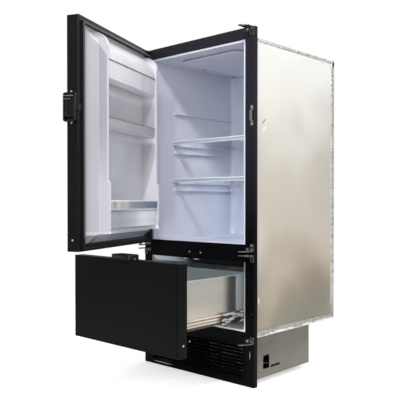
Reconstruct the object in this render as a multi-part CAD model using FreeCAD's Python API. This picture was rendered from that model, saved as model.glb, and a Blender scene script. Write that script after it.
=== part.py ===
import FreeCAD, Part
import math
import os

os.makedirs("parts", exist_ok=True)
V = FreeCAD.Vector
UP = V(0, 0, 1)
RIGHT = V(1, 0, 0)
LEFT = V(-1, 0, 0)
BACK = V(0, 1, 0)

# Face frame: the front of the whole part. FACE_Y is its front face, ahead of the base centre.
FACE_Y = -200.0
FRAME_HALF = 278.2
FRAME_BOTTOM = 1.5
FRAME_TOP = 1251.5
FRAME_PLATE = 3.0
FRAME_RETURN = 18.4
FRAME_WALL = 1.5
STILE_WIDE = 39.7
FRIDGE_OPEN_HALF = FRAME_HALF - STILE_WIDE
FRIDGE_OPEN_BOTTOM = 497.0
TOP_RAIL_TALL = 39.5
FRIDGE_OPEN_TOP = FRAME_TOP - TOP_RAIL_TALL
FREEZER_OPEN_BOTTOM = 190.5
RAIL_BOTTOM = 434.5
FASCIA_INSET = 7.5
FASCIA_HALF = FRIDGE_OPEN_HALF - FASCIA_INSET
FASCIA_DROP = 19.0
FASCIA_BACK = 16.0
FASCIA_WALL = 2.0
GRILLE_OPEN_BOTTOM = 13.5
GRILLE_OPEN_TOP = 149.5

# Cabinet body behind the frame
FLANGE_SIDE = 16.0
FLANGE_TOP = 32.7
SHELL_HALF = FRAME_HALF - FLANGE_SIDE
SHELL_BOTTOM = 168.5
SHELL_TOP = FRAME_TOP - FLANGE_TOP
SHELL_DEPTH = 548.7
SHELL_WALL = 1.0
TAPE_WIDTH = 24.0
TAPE_WALL = 0.3
LINER_WALL = 2.0
LINER_FLANGE = 12.0

# Fridge compartment, measured inside the liner
FRIDGE_INSET = 8.5
FRIDGE_HALF = FRIDGE_OPEN_HALF - FRIDGE_INSET
FRIDGE_SILL = 3.0
FRIDGE_FLOOR = FRIDGE_OPEN_BOTTOM + FRIDGE_SILL
FRIDGE_BROW = 7.0
FRIDGE_CEILING = FRIDGE_OPEN_TOP - FRIDGE_BROW
FRIDGE_BACK_FOAM = 60.7
FRIDGE_DEPTH = SHELL_DEPTH - FRIDGE_BACK_FOAM
FRIDGE_CORNER = 14.0
RIB_PROUD = 12.0
RIB_HEIGHT = 11.0
RIB_FRONT = 118.0
RIB_BACK_GAP = 14.0
RIB_BACK = FRIDGE_DEPTH - RIB_BACK_GAP
FRIDGE_TALL = FRIDGE_CEILING - FRIDGE_FLOOR
LEDGE_SHARE = 0.7319
LEDGE_TOP = FRIDGE_FLOOR + FRIDGE_TALL * LEDGE_SHARE
SECOND_RIB_DROP = 30.0

# Freezer compartment, measured inside the liner
FREEZER_INSET = 6.5
FREEZER_HALF = FRIDGE_OPEN_HALF - FREEZER_INSET
FREEZER_SILL = 5.5
FREEZER_FLOOR = FREEZER_OPEN_BOTTOM + FREEZER_SILL
FREEZER_BROW = 1.5
FREEZER_CEILING = RAIL_BOTTOM + FREEZER_BROW
FREEZER_BACK_FOAM = 78.7
FREEZER_DEPTH = SHELL_DEPTH - FREEZER_BACK_FOAM

# Glass shelves and their trims
SHELF_SHARES = (0.3199, 0.5369)
SHELF_BOTTOMS = tuple(FRIDGE_FLOOR + FRIDGE_TALL * share for share in SHELF_SHARES)
TRIM_HEIGHT = 16.0
TRIM_DEPTH = 11.0
TRIM_FRONT = 107.0
TRIM_END_GAP = 3.0
TRIM_HALF = FRIDGE_HALF - TRIM_END_GAP
TRIM_ROUND = 3.0
GLASS_RISE = 7.0
GLASS_THICK = 4.0
GLASS_END_GAP = 5.0
GLASS_HALF = FRIDGE_HALF - GLASS_END_GAP
GLASS_BITE = 7.0
GLASS_BACK_GAP = 26.0
GLASS_BACK = FRIDGE_DEPTH - GLASS_BACK_GAP
GLASS_FIT = 0.05

# Cooling plates inside the two compartments
PLATE_THICK = 2.0
PLATE_SIDE_GAP = 78.0
PLATE_HALF = FRIDGE_HALF - PLATE_SIDE_GAP
PLATE_FRONT = 66.0
PLATE_BACK_GAP = 48.0
PLATE_BACK = FRIDGE_DEPTH - PLATE_BACK_GAP
PLATE_ROUND = 38.0
PLATE_DROP = 9.0
POST_R = 4.0
POST_INSET = 42.0
POST_X = PLATE_HALF - POST_INSET
POST_FRONT = 120.0
POST_BACK_GAP = 88.0
POST_BACK = FRIDGE_DEPTH - POST_BACK_GAP
PLUG_R = 4.0
PLUG_PROUD = 3.0
PLUG_INSET = 40.0
PLUG_X = FRIDGE_HALF - PLUG_INSET
PLUG_FRONT = 256.0
PLUG_BACK_GAP = 38.0
PLUG_DEPTHS = (PLUG_FRONT, FRIDGE_DEPTH - PLUG_BACK_GAP)
COLD_SIDE_GAP = 62.0
COLD_HALF = FREEZER_HALF - COLD_SIDE_GAP
COLD_BOTTOM_GAP = 26.0
COLD_BOTTOM = FREEZER_FLOOR + COLD_BOTTOM_GAP
COLD_TOP_GAP = 36.0
COLD_TOP = FREEZER_CEILING - COLD_TOP_GAP
COLD_GAP = 8.0

# Control housing on the right wall of the fridge compartment
CONTROL_PROUD = 32.0
CONTROL_FRONT = 150.0
CONTROL_BACK = 262.0
CONTROL_RISE = 24.0
CONTROL_TOP_RISE = 114.0
CONTROL_BOTTOM = LEDGE_TOP + CONTROL_RISE
CONTROL_TOP = LEDGE_TOP + CONTROL_TOP_RISE
CONTROL_ROUND = 4.0
CONTROL_WALL = 2.0
LENS_FRONT = 158.0
LENS_BACK = 202.0
LENS_MARGIN = 12.0
KNOB_DEPTH = 232.0
KNOB_RISE = 45.0
KNOB_Z = CONTROL_BOTTOM + KNOB_RISE
KNOB_R = 15.0
KNOB_THICK = 12.0
KNOB_SKIRT = 3.0
KNOB_SKIRT_R = 18.0
KNOB_GAP = 0.5
KNOB_GRIP = 5.0
KNOB_STEM_R = 3.0
KNOB_STEM = 14.0
RUN_FIT = 0.05

# Hinges and spare hinge brackets
PIVOT_INSET = 23.2
PIVOT_X = PIVOT_INSET - FRAME_HALF
PIVOT_AHEAD = 47.0
BLADE = 2.5
BLADE_TIP_R = 8.0
LEAF_INSET = 0.5
LEAF_WIDE = 35.7
LEAF_STEM_WIDE = 15.2
LEAF_OUTER = FRAME_HALF - LEAF_INSET
LEAF_INNER = LEAF_OUTER - LEAF_WIDE
LEAF_UPRIGHT = LEAF_OUTER - LEAF_STEM_WIDE
LEAF_BAND = 12.0
LEAF_LONG = 26.0
TOP_BLADE_DROP = 5.0
TOP_BLADE = FRAME_TOP - TOP_BLADE_DROP
MID_BLADE_DROP = 22.7
MID_BLADE_HIGH = FRIDGE_OPEN_BOTTOM - MID_BLADE_DROP
MID_BLADE_RISE = 26.2
MID_BLADE_LOW = RAIL_BOTTOM + MID_BLADE_RISE
LOW_BLADE_RISE = 6.0
LOW_BLADE = GRILLE_OPEN_TOP + LOW_BLADE_RISE
LOW_LEAF_LONG = 20.0
PIN_R = 2.5
PIN_COLLAR_R = 6.0
PIN_REACH = 14.0
COLLAR_GAP = 0.3
BUSH_R = 9.0
BUSH_LONG = 18.0

# Screws
SCREW_HEAD_R = 3.2
SCREW_HEAD = 1.6
SCREW_SHANK_R = 1.6
SCREW_SHANK = 9.0
BRACKET_SCREW_FAR = 25.7
BRACKET_SCREW_NEAR = 8.7
BRACKET_SCREW_XS = (LEAF_OUTER - BRACKET_SCREW_FAR, LEAF_OUTER - BRACKET_SCREW_NEAR)
BRACKET_SCREW_RISE = 6.5
MID_SCREW_RISE = 20.0
FRAME_SCREW_INSET = 9.7
FRAME_SCREW_X = FRAME_HALF - FRAME_SCREW_INSET
FRAME_SCREW_LOW = 256.0
FRAME_SCREW_DROP = 105.5
FRAME_SCREW_ZS = (FRAME_SCREW_LOW, FRAME_TOP - FRAME_SCREW_DROP)
EDGE_SCREW_RISE = 36.5
EDGE_SCREW_BACK = 19.7
SIDE_SCREW_RISE = 40.0

# Fridge door, given closed; it is turned open about the hinge line at the end
DOOR_OPEN_DEG = 67.0
DOOR_HALF = FRAME_HALF
DOOR_SILL_LAP = 9.0
DOOR_BOTTOM = FRIDGE_OPEN_BOTTOM - DOOR_SILL_LAP
DOOR_TOP_DROP = 15.5
DOOR_TOP = FRAME_TOP - DOOR_TOP_DROP
DOOR_FRONT_AHEAD = 51.0
DOOR_BACK_AHEAD = 8.0
DOOR_SKIN = 2.0
DOOR_LIP = 16.5
DOOR_EDGE_ROUND = 2.0
DOOR_REAR_ROUND = 5.0
SEAL_GAP = 0.5
SEAL_INSET = 19.2
SEAL_OUTER_HALF = DOOR_HALF - SEAL_INSET
SEAL_WIDTH = 18.0
SEAL_RISE = 3.0
SEAL_BOTTOM = DOOR_BOTTOM + SEAL_RISE
SEAL_DROP = 14.0
SEAL_TOP = DOOR_TOP - SEAL_DROP
SEAL_LIP = 4.0
SEAL_CHANNEL = 3.0
DYKE_SIDE_GAP = 0.5
DYKE_BASE_HALF = FRIDGE_OPEN_HALF - DYKE_SIDE_GAP
DYKE_RISE_FROM_DOOR = 21.5
DYKE_BASE_BOTTOM = DOOR_BOTTOM + DYKE_RISE_FROM_DOOR
DYKE_DROP_FROM_DOOR = 35.0
DYKE_BASE_TOP = DOOR_TOP - DYKE_DROP_FROM_DOOR
DYKE_SLOPE = 34.0
DYKE_RISE = 31.0
DYKE_WIDTH = 14.0
CHEEK_OUTER = DYKE_BASE_HALF - DYKE_SLOPE
CHEEK_THICK = 14.0
CHEEK_BACK_DROP = 42.0
CHEEK_FRONT_DROP = 99.0
CHEEK_TOP_BACK = DOOR_TOP - CHEEK_BACK_DROP
CHEEK_TOP_FRONT = DOOR_TOP - CHEEK_FRONT_DROP
CHEEK_PROUD = 59.0
DOOR_TALL = DOOR_TOP - DOOR_BOTTOM
CHEEK_STEP_SHARE = 0.3048
CHEEK_STEP_Z = DOOR_BOTTOM + DOOR_TALL * CHEEK_STEP_SHARE
CHEEK_STEP = 8.0
CHEEK_STEP_RUN = 8.0
CHEEK_RISE = 55.0
CHEEK_BOTTOM = DOOR_BOTTOM + CHEEK_RISE
CHEEK_SKIN = 2.5
CHEEK_BEND_SHARE = 0.8

# Door bins and bottle bar
BIN_HALF = CHEEK_OUTER - CHEEK_THICK
BIN_WALL = 2.5
BIN_FRONT = 56.0
BIN_LOW_FRONT = 62.0
BIN_BACK = 1.0
LUG_PROUD = 5.0
LUG_TALL = 5.0
LUG_FRONT = 46.0
LUG_BACK = 20.0
BIN_SHARES = {"upper": (0.7493, 0.8336), "middle": (0.5354, 0.5849)}
BIN_LEVELS = {}
for bin_name, bin_shares in BIN_SHARES.items():
    BIN_LEVELS[bin_name] = tuple(DOOR_BOTTOM + DOOR_TALL * share for share in bin_shares)
BIN_LOW_FLOOR = DYKE_BASE_BOTTOM + DYKE_SLOPE + DYKE_WIDTH
BIN_LOW_TALL = 59.0
BIN_LEVELS["lower"] = (BIN_LOW_FLOOR, BIN_LOW_FLOOR + BIN_LOW_TALL)
BAR_GAP = 6.5
BAR_TALL = 25.0
BAR_BOTTOM = BIN_LEVELS["lower"][1] + BAR_GAP
BAR_TOP = BAR_BOTTOM + BAR_TALL
BAR_THICK = 1.6
BAR_PROUD = 63.0
BAR_TAB = 12.0

# Latch, laid out from its pivot: out of the door's edge, and back towards the frame
LATCH_PIVOT_OUT = 9.0
LATCH_PIVOT_AHEAD = 16.0
LATCH_HALF = 44.0
LATCH_AHEAD = 35.0
LATCH_BEHIND = 7.0
LATCH_BASE = 2.0
LATCH_EAR = 5.0
LATCH_EAR_ROUND = 6.0
LATCH_TALL = 16.0
LATCH_FOOT = 10.0
LATCH_FOOT_HALF = 8.0
LATCH_FOOT_BACK = 26.0
LEVER_SIDE = 0.4
LEVER_TIP = 41.0
LEVER_OUTER = 7.0
LEVER_PLATE = 4.0
LEVER_HUB_R = 5.5
LEVER_STUB_R = 2.5
LEVER_STUB = 4.0
HOOK_HALF = 12.0
HOOK_THICK = 4.5
HOOK_LEVEL = 10.1
HOOK_END = 12.1
DOOR_HOOK_TOE = 16.0
DRAWER_HOOK_TOE = 12.0
LATCH_LINE_SHARE = 0.6103
LATCH_LINE_Z = DOOR_BOTTOM + DOOR_TALL * LATCH_LINE_SHARE
DOOR_STRIKER_NEAR = -4.6
DOOR_STRIKER_FAR = -15.5
DRAWER_STRIKER_NEAR = -0.8
DRAWER_STRIKER_FAR = -8.5
DRAWER_EAR_END = 8.5
DRAWER_STRIKER_SCREW_OUT = 2.5
STRIKER_HALF = 35.0
STRIKER_BRIDGE_HALF = 18.0
STRIKER_WALL = 1.2
STRIKER_PROUD = 7.6
STRIKER_SCREW = 28.5

# Freezer drawer, given pulled out as in the photograph
DRAWER_OUT = 310.0
DRAWER_INSET = 13.2
DRAWER_HALF = FRAME_HALF - DRAWER_INSET
DRAWER_BOTTOM = 162.5
DRAWER_TOP_LAP = 20.5
DRAWER_TOP = RAIL_BOTTOM + DRAWER_TOP_LAP
DRAWER_THICK = 36.5
DRAWER_SKIN = 2.0
DRAWER_LIP = 8.0
DRAWER_BORDER = 8.0
DRAWER_GROOVE = 1.2
DRAWER_GROOVE_WIDE = 1.6
DRAWER_SEAL_MARGIN = 9.0
DRAWER_SEAL_RISE = 7.0
DRAWER_SEAL_HALF = DRAWER_HALF - DRAWER_SEAL_MARGIN
DRAWER_SEAL_BOTTOM = DRAWER_BOTTOM + DRAWER_SEAL_RISE
DRAWER_SEAL_TOP = DRAWER_TOP - DRAWER_SEAL_MARGIN
DRAWER_SEAL_WIDTH = 15.0
BOX_SIDE_GAP = 17.0
BOX_HALF = FREEZER_HALF - BOX_SIDE_GAP
BOX_BOTTOM = 232.5
BOX_TOP = 391.5
BOX_LONG = 375.0
BOX_WALL = 1.0
BOX_HEM = 3.0
INNER_PANEL = 3.0

# Telescopic slides
SLIDE_Z = 247.5
SLIDE_WALL = 1.2
SLIDE_OUTER_TALL = 44.0
SLIDE_MID_TALL = 37.0
SLIDE_INNER_TALL = 30.0
SLIDE_MID_INSET = 4.3
SLIDE_INNER_INSET = 6.5
SLIDE_LIP_INSET = 12.4
SLIDE_MID_WEB = FREEZER_HALF - SLIDE_MID_INSET
SLIDE_INNER_LIP = FREEZER_HALF - SLIDE_INNER_INSET
SLIDE_LIP_X = FREEZER_HALF - SLIDE_LIP_INSET
SLIDE_OUTER_START = 12.0
SLIDE_OUTER_SHORT = 13.0
SLIDE_OUTER_LONG = BOX_LONG - SLIDE_OUTER_SHORT
SLIDE_MID_START = 45.0
SLIDE_MID_LONG = 300.0
SLIDE_INNER_SHORT = 15.0
SLIDE_INNER_LONG = BOX_LONG - SLIDE_INNER_SHORT
GLIDE_LONG = 20.0
GLIDE_GAP = 0.3
GLIDE_INNER_STARTS = (5.0, 100.0)
GLIDE_OUTER_STARTS = (150.0, 275.0)

# Machine compartment below the cabinet
BOX_SIDE_HALF = SHELL_HALF
BOX_SIDE_WALL = 1.2
MACHINE_BOTTOM = 21.5
MACHINE_DEPTH = 367.2
CUT_FRONT = 72.8
CUT_BACK = 110.3
CUT_BOTTOM = 50.5
CUT_TOP = 99.5
SLOT_BACK = 173.0
SLOT_FRONT = 120.0
SLOT_HALF = 3.0
SIDE_HOLE_DEPTH = 144.0
SIDE_HOLE_ZS = (107.0, 132.5)
SIDE_HOLE_R = 3.0
REAR_SLOT_HALF = 150.0
REAR_SLOT_TALL = 5.0
REAR_SLOT_PITCH = 14.0
REAR_SLOT_COUNT = 6
REAR_SLOT_BOTTOM = 40.0
PIPE_HOLE_R = 8.0
TRAY_INSET = 50.2
TRAY_HALF = BOX_SIDE_HALF - TRAY_INSET
TRAY_FRONT = 50.0
TRAY_BACK = 350.0
TRAY_WALL = 1.5
TRAY_ROUND = 12.0
TRAY_FLANGE_FRONT = 13.0

# Grille
GRILLE_PLAY = 0.7
GRILLE_HALF = FRIDGE_OPEN_HALF - GRILLE_PLAY
GRILLE_BOTTOM = GRILLE_OPEN_BOTTOM + GRILLE_PLAY
GRILLE_TOP = GRILLE_OPEN_TOP - GRILLE_PLAY
GRILLE_FRAME = 9.0
GRILLE_DEPTH = 13.0
GRILLE_AHEAD = 1.0
LOUVRE_COUNT = 9
LOUVRE_THICK = 1.6
LOUVRE_FALL = 7.0
LOUVRE_BAR_HALF = 2.5
LOUVRE_BAR_XS = (-118.0, -28.0, 118.0)
GRILLE_BOSS_R = 6.0
GRILLE_SCREW_Z = 118.5

# Compressor and its surroundings
COMP_X = -104.0
COMP_DEPTH = 238.0
COMP_HALF_X = 88.0
COMP_HALF_Y = 62.0
COMP_BOTTOM = 20.0
COMP_SEAM = 84.0
COMP_TOP = 146.0
COMP_ROUND = 40.0
COMP_SEAM_PROUD = 4.0
COMP_SEAM_THICK = 4.0
FOOT_PLATE = 2.5
FOOT_HALF_X = 102.0
FOOT_HALF_Y = 70.0
FOOT_X = 89.0
FOOT_Y = 58.0
GROMMET_R = 10.0
GROMMET_HOLE_R = 4.0
GROMMET_TALL = 16.0
CONNECTOR_SIDE = 81.2
CONNECTOR_X0 = BOX_SIDE_HALF - CONNECTOR_SIDE
COND_X0 = 18.0
COND_SIDE_GAP = 9.0
COND_X1 = CONNECTOR_X0 - COND_SIDE_GAP
COND_FRONT = 62.0
COND_THICK = 46.0
COND_BOTTOM = 27.0
COND_FOOT = 12.0
COND_TOP = 152.0
COND_END = 1.5
COND_TUBE_R = 4.0
COND_ROWS = 5
COND_TUBE_SHARE = 0.25
COND_FIN_PITCH = 5.6
COND_FIN = 0.5
COND_FIN_MARGIN = 5.0
FAN_X = (COND_X0 + COND_X1) / 2
FAN_Z = 91.0
FAN_FRONT = 108.0
FAN_HALF = 60.0
FAN_THICK = 25.0
FAN_BORE_R = 56.0
FAN_HUB_R = 18.0
FAN_CORE_R = 15.0
FAN_BLADE_TIP = 53.5
FAN_BLADES = 7
FAN_BLADE_THICK = 1.8
FAN_SPOKE = 3.0
FAN_AXLE_R = 2.5
FAN_BACK_WALL = 4.0
UNIT_SIDE_GAP = 31.0
UNIT_FAR_GAP = 121.0
UNIT_X1 = CONNECTOR_X0 - UNIT_SIDE_GAP
UNIT_X0 = CONNECTOR_X0 - UNIT_FAR_GAP
UNIT_FRONT = 170.0
UNIT_LONG = 120.0
UNIT_TALL = 46.0
UNIT_ROUND = 4.0
UNIT_PLUG_SHARE = 0.75

# Pipes and wires
SUCTION_R = 4.0
LINK_R = 3.0
LIQUID_R = 1.6
WIRE_R = 1.6
SUCTION_BEND = 20.0
LINK_BEND = 16.0
LIQUID_BEND = 11.0
RED_BEND = 12.0
BLACK_BEND = 16.0
ROUTE_X = -40.0
ROUTE_BACK_GAP = 36.7
ROUTE_BACK = SHELL_DEPTH - ROUTE_BACK_GAP
ROUTE_TURN = 330.0
LINK_X = 40.0
LIQUID_X = 4.0
LIQUID_LOW = 104.0
SUCTION_STUB_Z = 120.0
WIRE_HIGH = 72.0
WIRE_FRONT = 44.0
WIRE_SIDE_GAP = 14.2
WIRE_SIDE_X = BOX_SIDE_HALF - WIRE_SIDE_GAP
WIRE_BACK = 150.0
CONNECTOR_LONG = 15.0
CONNECTOR_PITCH = 21.0
CONNECTOR_THICK = 9.0
CONNECTOR_BOTTOM = 56.0
CONNECTOR_TALL = 22.0
CONNECTOR_COUNT = 2
CONNECTOR_FRONT = 32.0
CONNECTOR_DEEP = 12.0

FULL_TURN = 360.0
QUARTER = 90.0


# Basic shapes
def block(x0, x1, y0, y1, z0, z1):
    return Part.makeBox(x1 - x0, y1 - y0, z1 - z0, V(x0, y0, z0))


def fuse(shapes):
    first = shapes[0]
    if len(shapes) == 1:
        return first
    return first.multiFuse(shapes[1:]).removeSplitter()


def rod(radius, start, end):
    line = end - start
    return Part.makeCylinder(radius, line.Length, start, line)


def polygon(points):
    return Part.Face(Part.makePolygon(points + [points[0]]))


def bent_tube(radius, bend, points):
    edges = []
    start = points[0]
    for index in range(1, len(points) - 1):
        corner = points[index]
        inward = (points[index - 1] - corner).normalize()
        onward = (points[index + 1] - corner).normalize()
        half_angle = inward.getAngle(onward) / 2
        setback = bend / math.tan(half_angle)
        first = corner + inward * setback
        last = corner + onward * setback
        to_centre = (inward + onward).normalize()
        middle = corner + to_centre * (bend / math.sin(half_angle) - bend)
        edges.append(Part.makeLine(start, first))
        edges.append(Part.Arc(first, middle, last).toShape())
        start = last
    edges.append(Part.makeLine(start, points[-1]))
    section = Part.Wire([Part.makeCircle(radius, points[0], points[1] - points[0])])
    return Part.Wire(edges).makePipeShell([section], True, False)


def mirrored(shape):
    return shape.mirror(V(0, 0, 0), RIGHT)


def both_sides(shape):
    return Part.makeCompound([shape, mirrored(shape)])


def upright_rounds(shape, radius, low, high):
    edges = []
    for edge in shape.Edges:
        ends = [vertex.Point for vertex in edge.Vertexes]
        if len(ends) == 2 and abs(ends[0].z - ends[1].z) > (high - low) / 2:
            edges.append(edge)
    return shape.makeFillet(radius, edges)


def rear_rounds(shape, radius, rear_y):
    edges = []
    for edge in shape.Edges:
        middle = edge.CenterOfMass
        if abs(middle.y - rear_y) < radius / 2 and abs(middle.x) > radius:
            edges.append(edge)
    return shape.makeFillet(radius, edges)


def ring(half, low, high, y0, y1, width):
    outer = block(-half, half, y0, y1, low, high)
    return outer.cut(block(width - half, half - width, y0, y1, low + width, high - width))


def save(name, shape):
    shape.exportStep("parts/" + name + ".step")


# Screws are shared: a low round head and a plain shank
def screw(head_point, inward):
    head = Part.makeCylinder(SCREW_HEAD_R, SCREW_HEAD, head_point - inward * SCREW_HEAD, inward)
    shank = Part.makeCylinder(SCREW_SHANK_R, SCREW_SHANK, head_point, inward)
    return head.fuse(shank).removeSplitter()


def screw_hole(head_point, inward):
    return Part.makeCylinder(SCREW_SHANK_R, SCREW_SHANK, head_point, inward)


# Face frame with its openings and the sloped fascia under the middle rail
back_of_plate = FACE_Y + FRAME_PLATE
return_back = FACE_Y + FRAME_RETURN
frame = block(-FRAME_HALF, FRAME_HALF, FACE_Y, return_back, FRAME_BOTTOM, FRAME_TOP)
inner_half = FRAME_HALF - FRAME_WALL
frame = frame.cut(block(-inner_half, inner_half, back_of_plate, return_back,
                        FRAME_BOTTOM + FRAME_WALL, FRAME_TOP - FRAME_WALL))
openings = ((FRIDGE_OPEN_BOTTOM, FRIDGE_OPEN_TOP), (FREEZER_OPEN_BOTTOM, RAIL_BOTTOM),
            (GRILLE_OPEN_BOTTOM, GRILLE_OPEN_TOP))
for low, high in openings:
    frame = frame.cut(block(-FRIDGE_OPEN_HALF, FRIDGE_OPEN_HALF, FACE_Y, back_of_plate, low, high))
fascia = polygon([
    V(-FASCIA_HALF, FACE_Y, RAIL_BOTTOM),
    V(-FASCIA_HALF, FACE_Y + FASCIA_BACK, RAIL_BOTTOM - FASCIA_DROP),
    V(-FASCIA_HALF, FACE_Y + FASCIA_BACK + FASCIA_WALL, RAIL_BOTTOM - FASCIA_DROP),
    V(-FASCIA_HALF, back_of_plate, RAIL_BOTTOM),
]).extrude(V(FASCIA_HALF + FASCIA_HALF, 0, 0))
frame = frame.fuse(fascia).removeSplitter()

# Outer metal: a wrap of four sides, a back, and foil tape over its lower and rear edges
shell_back_y = FACE_Y + SHELL_DEPTH
wrap = block(-SHELL_HALF, SHELL_HALF, back_of_plate, shell_back_y, SHELL_BOTTOM, SHELL_TOP)
core_half = SHELL_HALF - SHELL_WALL
shell_core = block(-core_half, core_half, back_of_plate, shell_back_y,
                   SHELL_BOTTOM + SHELL_WALL, SHELL_TOP - SHELL_WALL)
wrap = wrap.cut(shell_core)
back_panel = block(-SHELL_HALF, SHELL_HALF, shell_back_y, shell_back_y + SHELL_WALL,
                   SHELL_BOTTOM, SHELL_TOP)
tape_half = SHELL_HALF + TAPE_WALL
tape_back = shell_back_y + SHELL_WALL + TAPE_WALL
tape_outer = block(-tape_half, tape_half, return_back, tape_back,
                   SHELL_BOTTOM, SHELL_TOP + TAPE_WALL)
tape_core = block(-SHELL_HALF, SHELL_HALF, return_back, shell_back_y + SHELL_WALL,
                  SHELL_BOTTOM, SHELL_TOP)
tape_skin = tape_outer.cut(tape_core)
tape_zone = fuse([
    block(-tape_half, tape_half, return_back, tape_back, SHELL_BOTTOM, SHELL_BOTTOM + TAPE_WIDTH),
    block(-tape_half, tape_half, shell_back_y - TAPE_WIDTH, tape_back,
          SHELL_BOTTOM, SHELL_TOP + TAPE_WALL),
])
tape_window = block(TAPE_WIDTH - SHELL_HALF, SHELL_HALF - TAPE_WIDTH, shell_back_y, tape_back,
                    SHELL_BOTTOM + TAPE_WIDTH, SHELL_TOP - TAPE_WIDTH)
tape = tape_skin.common(tape_zone).cut(tape_window)


# Compartment liners: a moulded shell with a flange behind the frame
def liner(half, floor, ceiling, depth, flange_half, flange_low, flange_high):
    y_end = FACE_Y + depth
    outer = block(-half - LINER_WALL, half + LINER_WALL, back_of_plate, y_end + LINER_WALL,
                  floor - LINER_WALL, ceiling + LINER_WALL)
    outer = outer.fuse(block(-flange_half, flange_half, back_of_plate, back_of_plate + LINER_WALL,
                             flange_low, flange_high))
    hollow = block(-half, half, back_of_plate - LINER_WALL, y_end, floor, ceiling)
    hollow = upright_rounds(hollow, FRIDGE_CORNER, floor, ceiling)
    hollow = hollow.fuse(block(-half, half, back_of_plate - LINER_WALL,
                               FACE_Y + depth / 2, floor, ceiling))
    return outer.cut(hollow).removeSplitter(), outer.removeSplitter()


flange_half = FRIDGE_OPEN_HALF + LINER_FLANGE
fridge_liner, fridge_envelope = liner(
    FRIDGE_HALF, FRIDGE_FLOOR, FRIDGE_CEILING, FRIDGE_DEPTH, flange_half,
    FRIDGE_OPEN_BOTTOM - LINER_FLANGE, SHELL_TOP - SHELL_WALL)
freezer_liner, freezer_envelope = liner(
    FREEZER_HALF, FREEZER_FLOOR, FREEZER_CEILING, FREEZER_DEPTH, flange_half,
    SHELL_BOTTOM + SHELL_WALL, FREEZER_CEILING + LINER_FLANGE)

# Moulded support ribs: one spare level, and two under each shelf
rib_tops = [LEDGE_TOP]
for shelf_bottom in SHELF_BOTTOMS:
    rib_tops.append(shelf_bottom + GLASS_RISE)
    rib_tops.append(shelf_bottom + GLASS_RISE - SECOND_RIB_DROP)
ribs = []
for rib_top in rib_tops:
    rib = block(FRIDGE_HALF - RIB_PROUD, FRIDGE_HALF, FACE_Y + RIB_FRONT,
                FACE_Y + RIB_BACK, rib_top - RIB_HEIGHT, rib_top)
    ribs.append(rib)
    ribs.append(mirrored(rib))
fridge_liner = fridge_liner.multiFuse(ribs).removeSplitter()

# Cooling plates with their posts
plate_low = FRIDGE_CEILING - PLATE_DROP
ceiling_plate = block(-PLATE_HALF, PLATE_HALF, FACE_Y + PLATE_FRONT, FACE_Y + PLATE_BACK,
                      plate_low, plate_low + PLATE_THICK)
corner_edges = []
for edge in ceiling_plate.Edges:
    if abs(edge.Vertexes[0].Z - edge.Vertexes[1].Z) > PLATE_THICK / 2:
        corner_edges.append(edge)
ceiling_plate = ceiling_plate.makeFillet(PLATE_ROUND, corner_edges)
posts = []
for post_x in (-POST_X, POST_X):
    for post_depth in (POST_FRONT, POST_BACK):
        foot = V(post_x, FACE_Y + post_depth, plate_low + PLATE_THICK)
        posts.append(rod(POST_R, foot, V(post_x, FACE_Y + post_depth, FRIDGE_CEILING)))
plugs = []
for plug_x in (-PLUG_X, PLUG_X):
    for plug_depth in PLUG_DEPTHS:
        plugs.append(rod(PLUG_R, V(plug_x, FACE_Y + plug_depth, FRIDGE_CEILING - PLUG_PROUD),
                         V(plug_x, FACE_Y + plug_depth, FRIDGE_CEILING)))
cold_back = FACE_Y + FREEZER_DEPTH - COLD_GAP
cold_plate = block(-COLD_HALF, COLD_HALF, cold_back - PLATE_THICK, cold_back,
                   COLD_BOTTOM, COLD_TOP)
for post_x in (-POST_X, POST_X):
    for post_z in (COLD_BOTTOM + COLD_GAP, COLD_TOP - COLD_GAP):
        cold_plate = cold_plate.fuse(rod(POST_R, V(post_x, cold_back, post_z),
                                         V(post_x, cold_back + COLD_GAP, post_z)))
cold_plate = cold_plate.removeSplitter()

# Glass shelves held in front and rear trims
glasses = []
trims = []
for shelf_bottom in SHELF_BOTTOMS:
    glass_low = shelf_bottom + GLASS_RISE
    front_y = FACE_Y + TRIM_FRONT
    glass_front = front_y + TRIM_DEPTH - GLASS_BITE
    glass_back_y = FACE_Y + GLASS_BACK
    glass = block(-GLASS_HALF, GLASS_HALF, glass_front, glass_back_y,
                  glass_low, glass_low + GLASS_THICK)
    groove = block(-GLASS_HALF - GLASS_FIT, GLASS_HALF + GLASS_FIT, glass_front - GLASS_FIT,
                   glass_back_y + GLASS_FIT, glass_low, glass_low + GLASS_THICK)
    front_trim = block(-TRIM_HALF, TRIM_HALF, front_y, front_y + TRIM_DEPTH,
                       shelf_bottom, shelf_bottom + TRIM_HEIGHT)
    trim_edges = []
    for edge in front_trim.Edges:
        middle = edge.CenterOfMass
        if abs(middle.y - front_y) < GLASS_FIT and abs(middle.x) < GLASS_FIT:
            trim_edges.append(edge)
    front_trim = front_trim.makeFillet(TRIM_ROUND, trim_edges)
    rear_trim = block(-TRIM_HALF, TRIM_HALF, glass_back_y - GLASS_BITE,
                      glass_back_y + TRIM_DEPTH - GLASS_BITE,
                      glass_low + GLASS_FIT, shelf_bottom + TRIM_HEIGHT)
    glasses.append(glass)
    trims.append(front_trim.cut(groove))
    trims.append(rear_trim.cut(groove))

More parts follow.
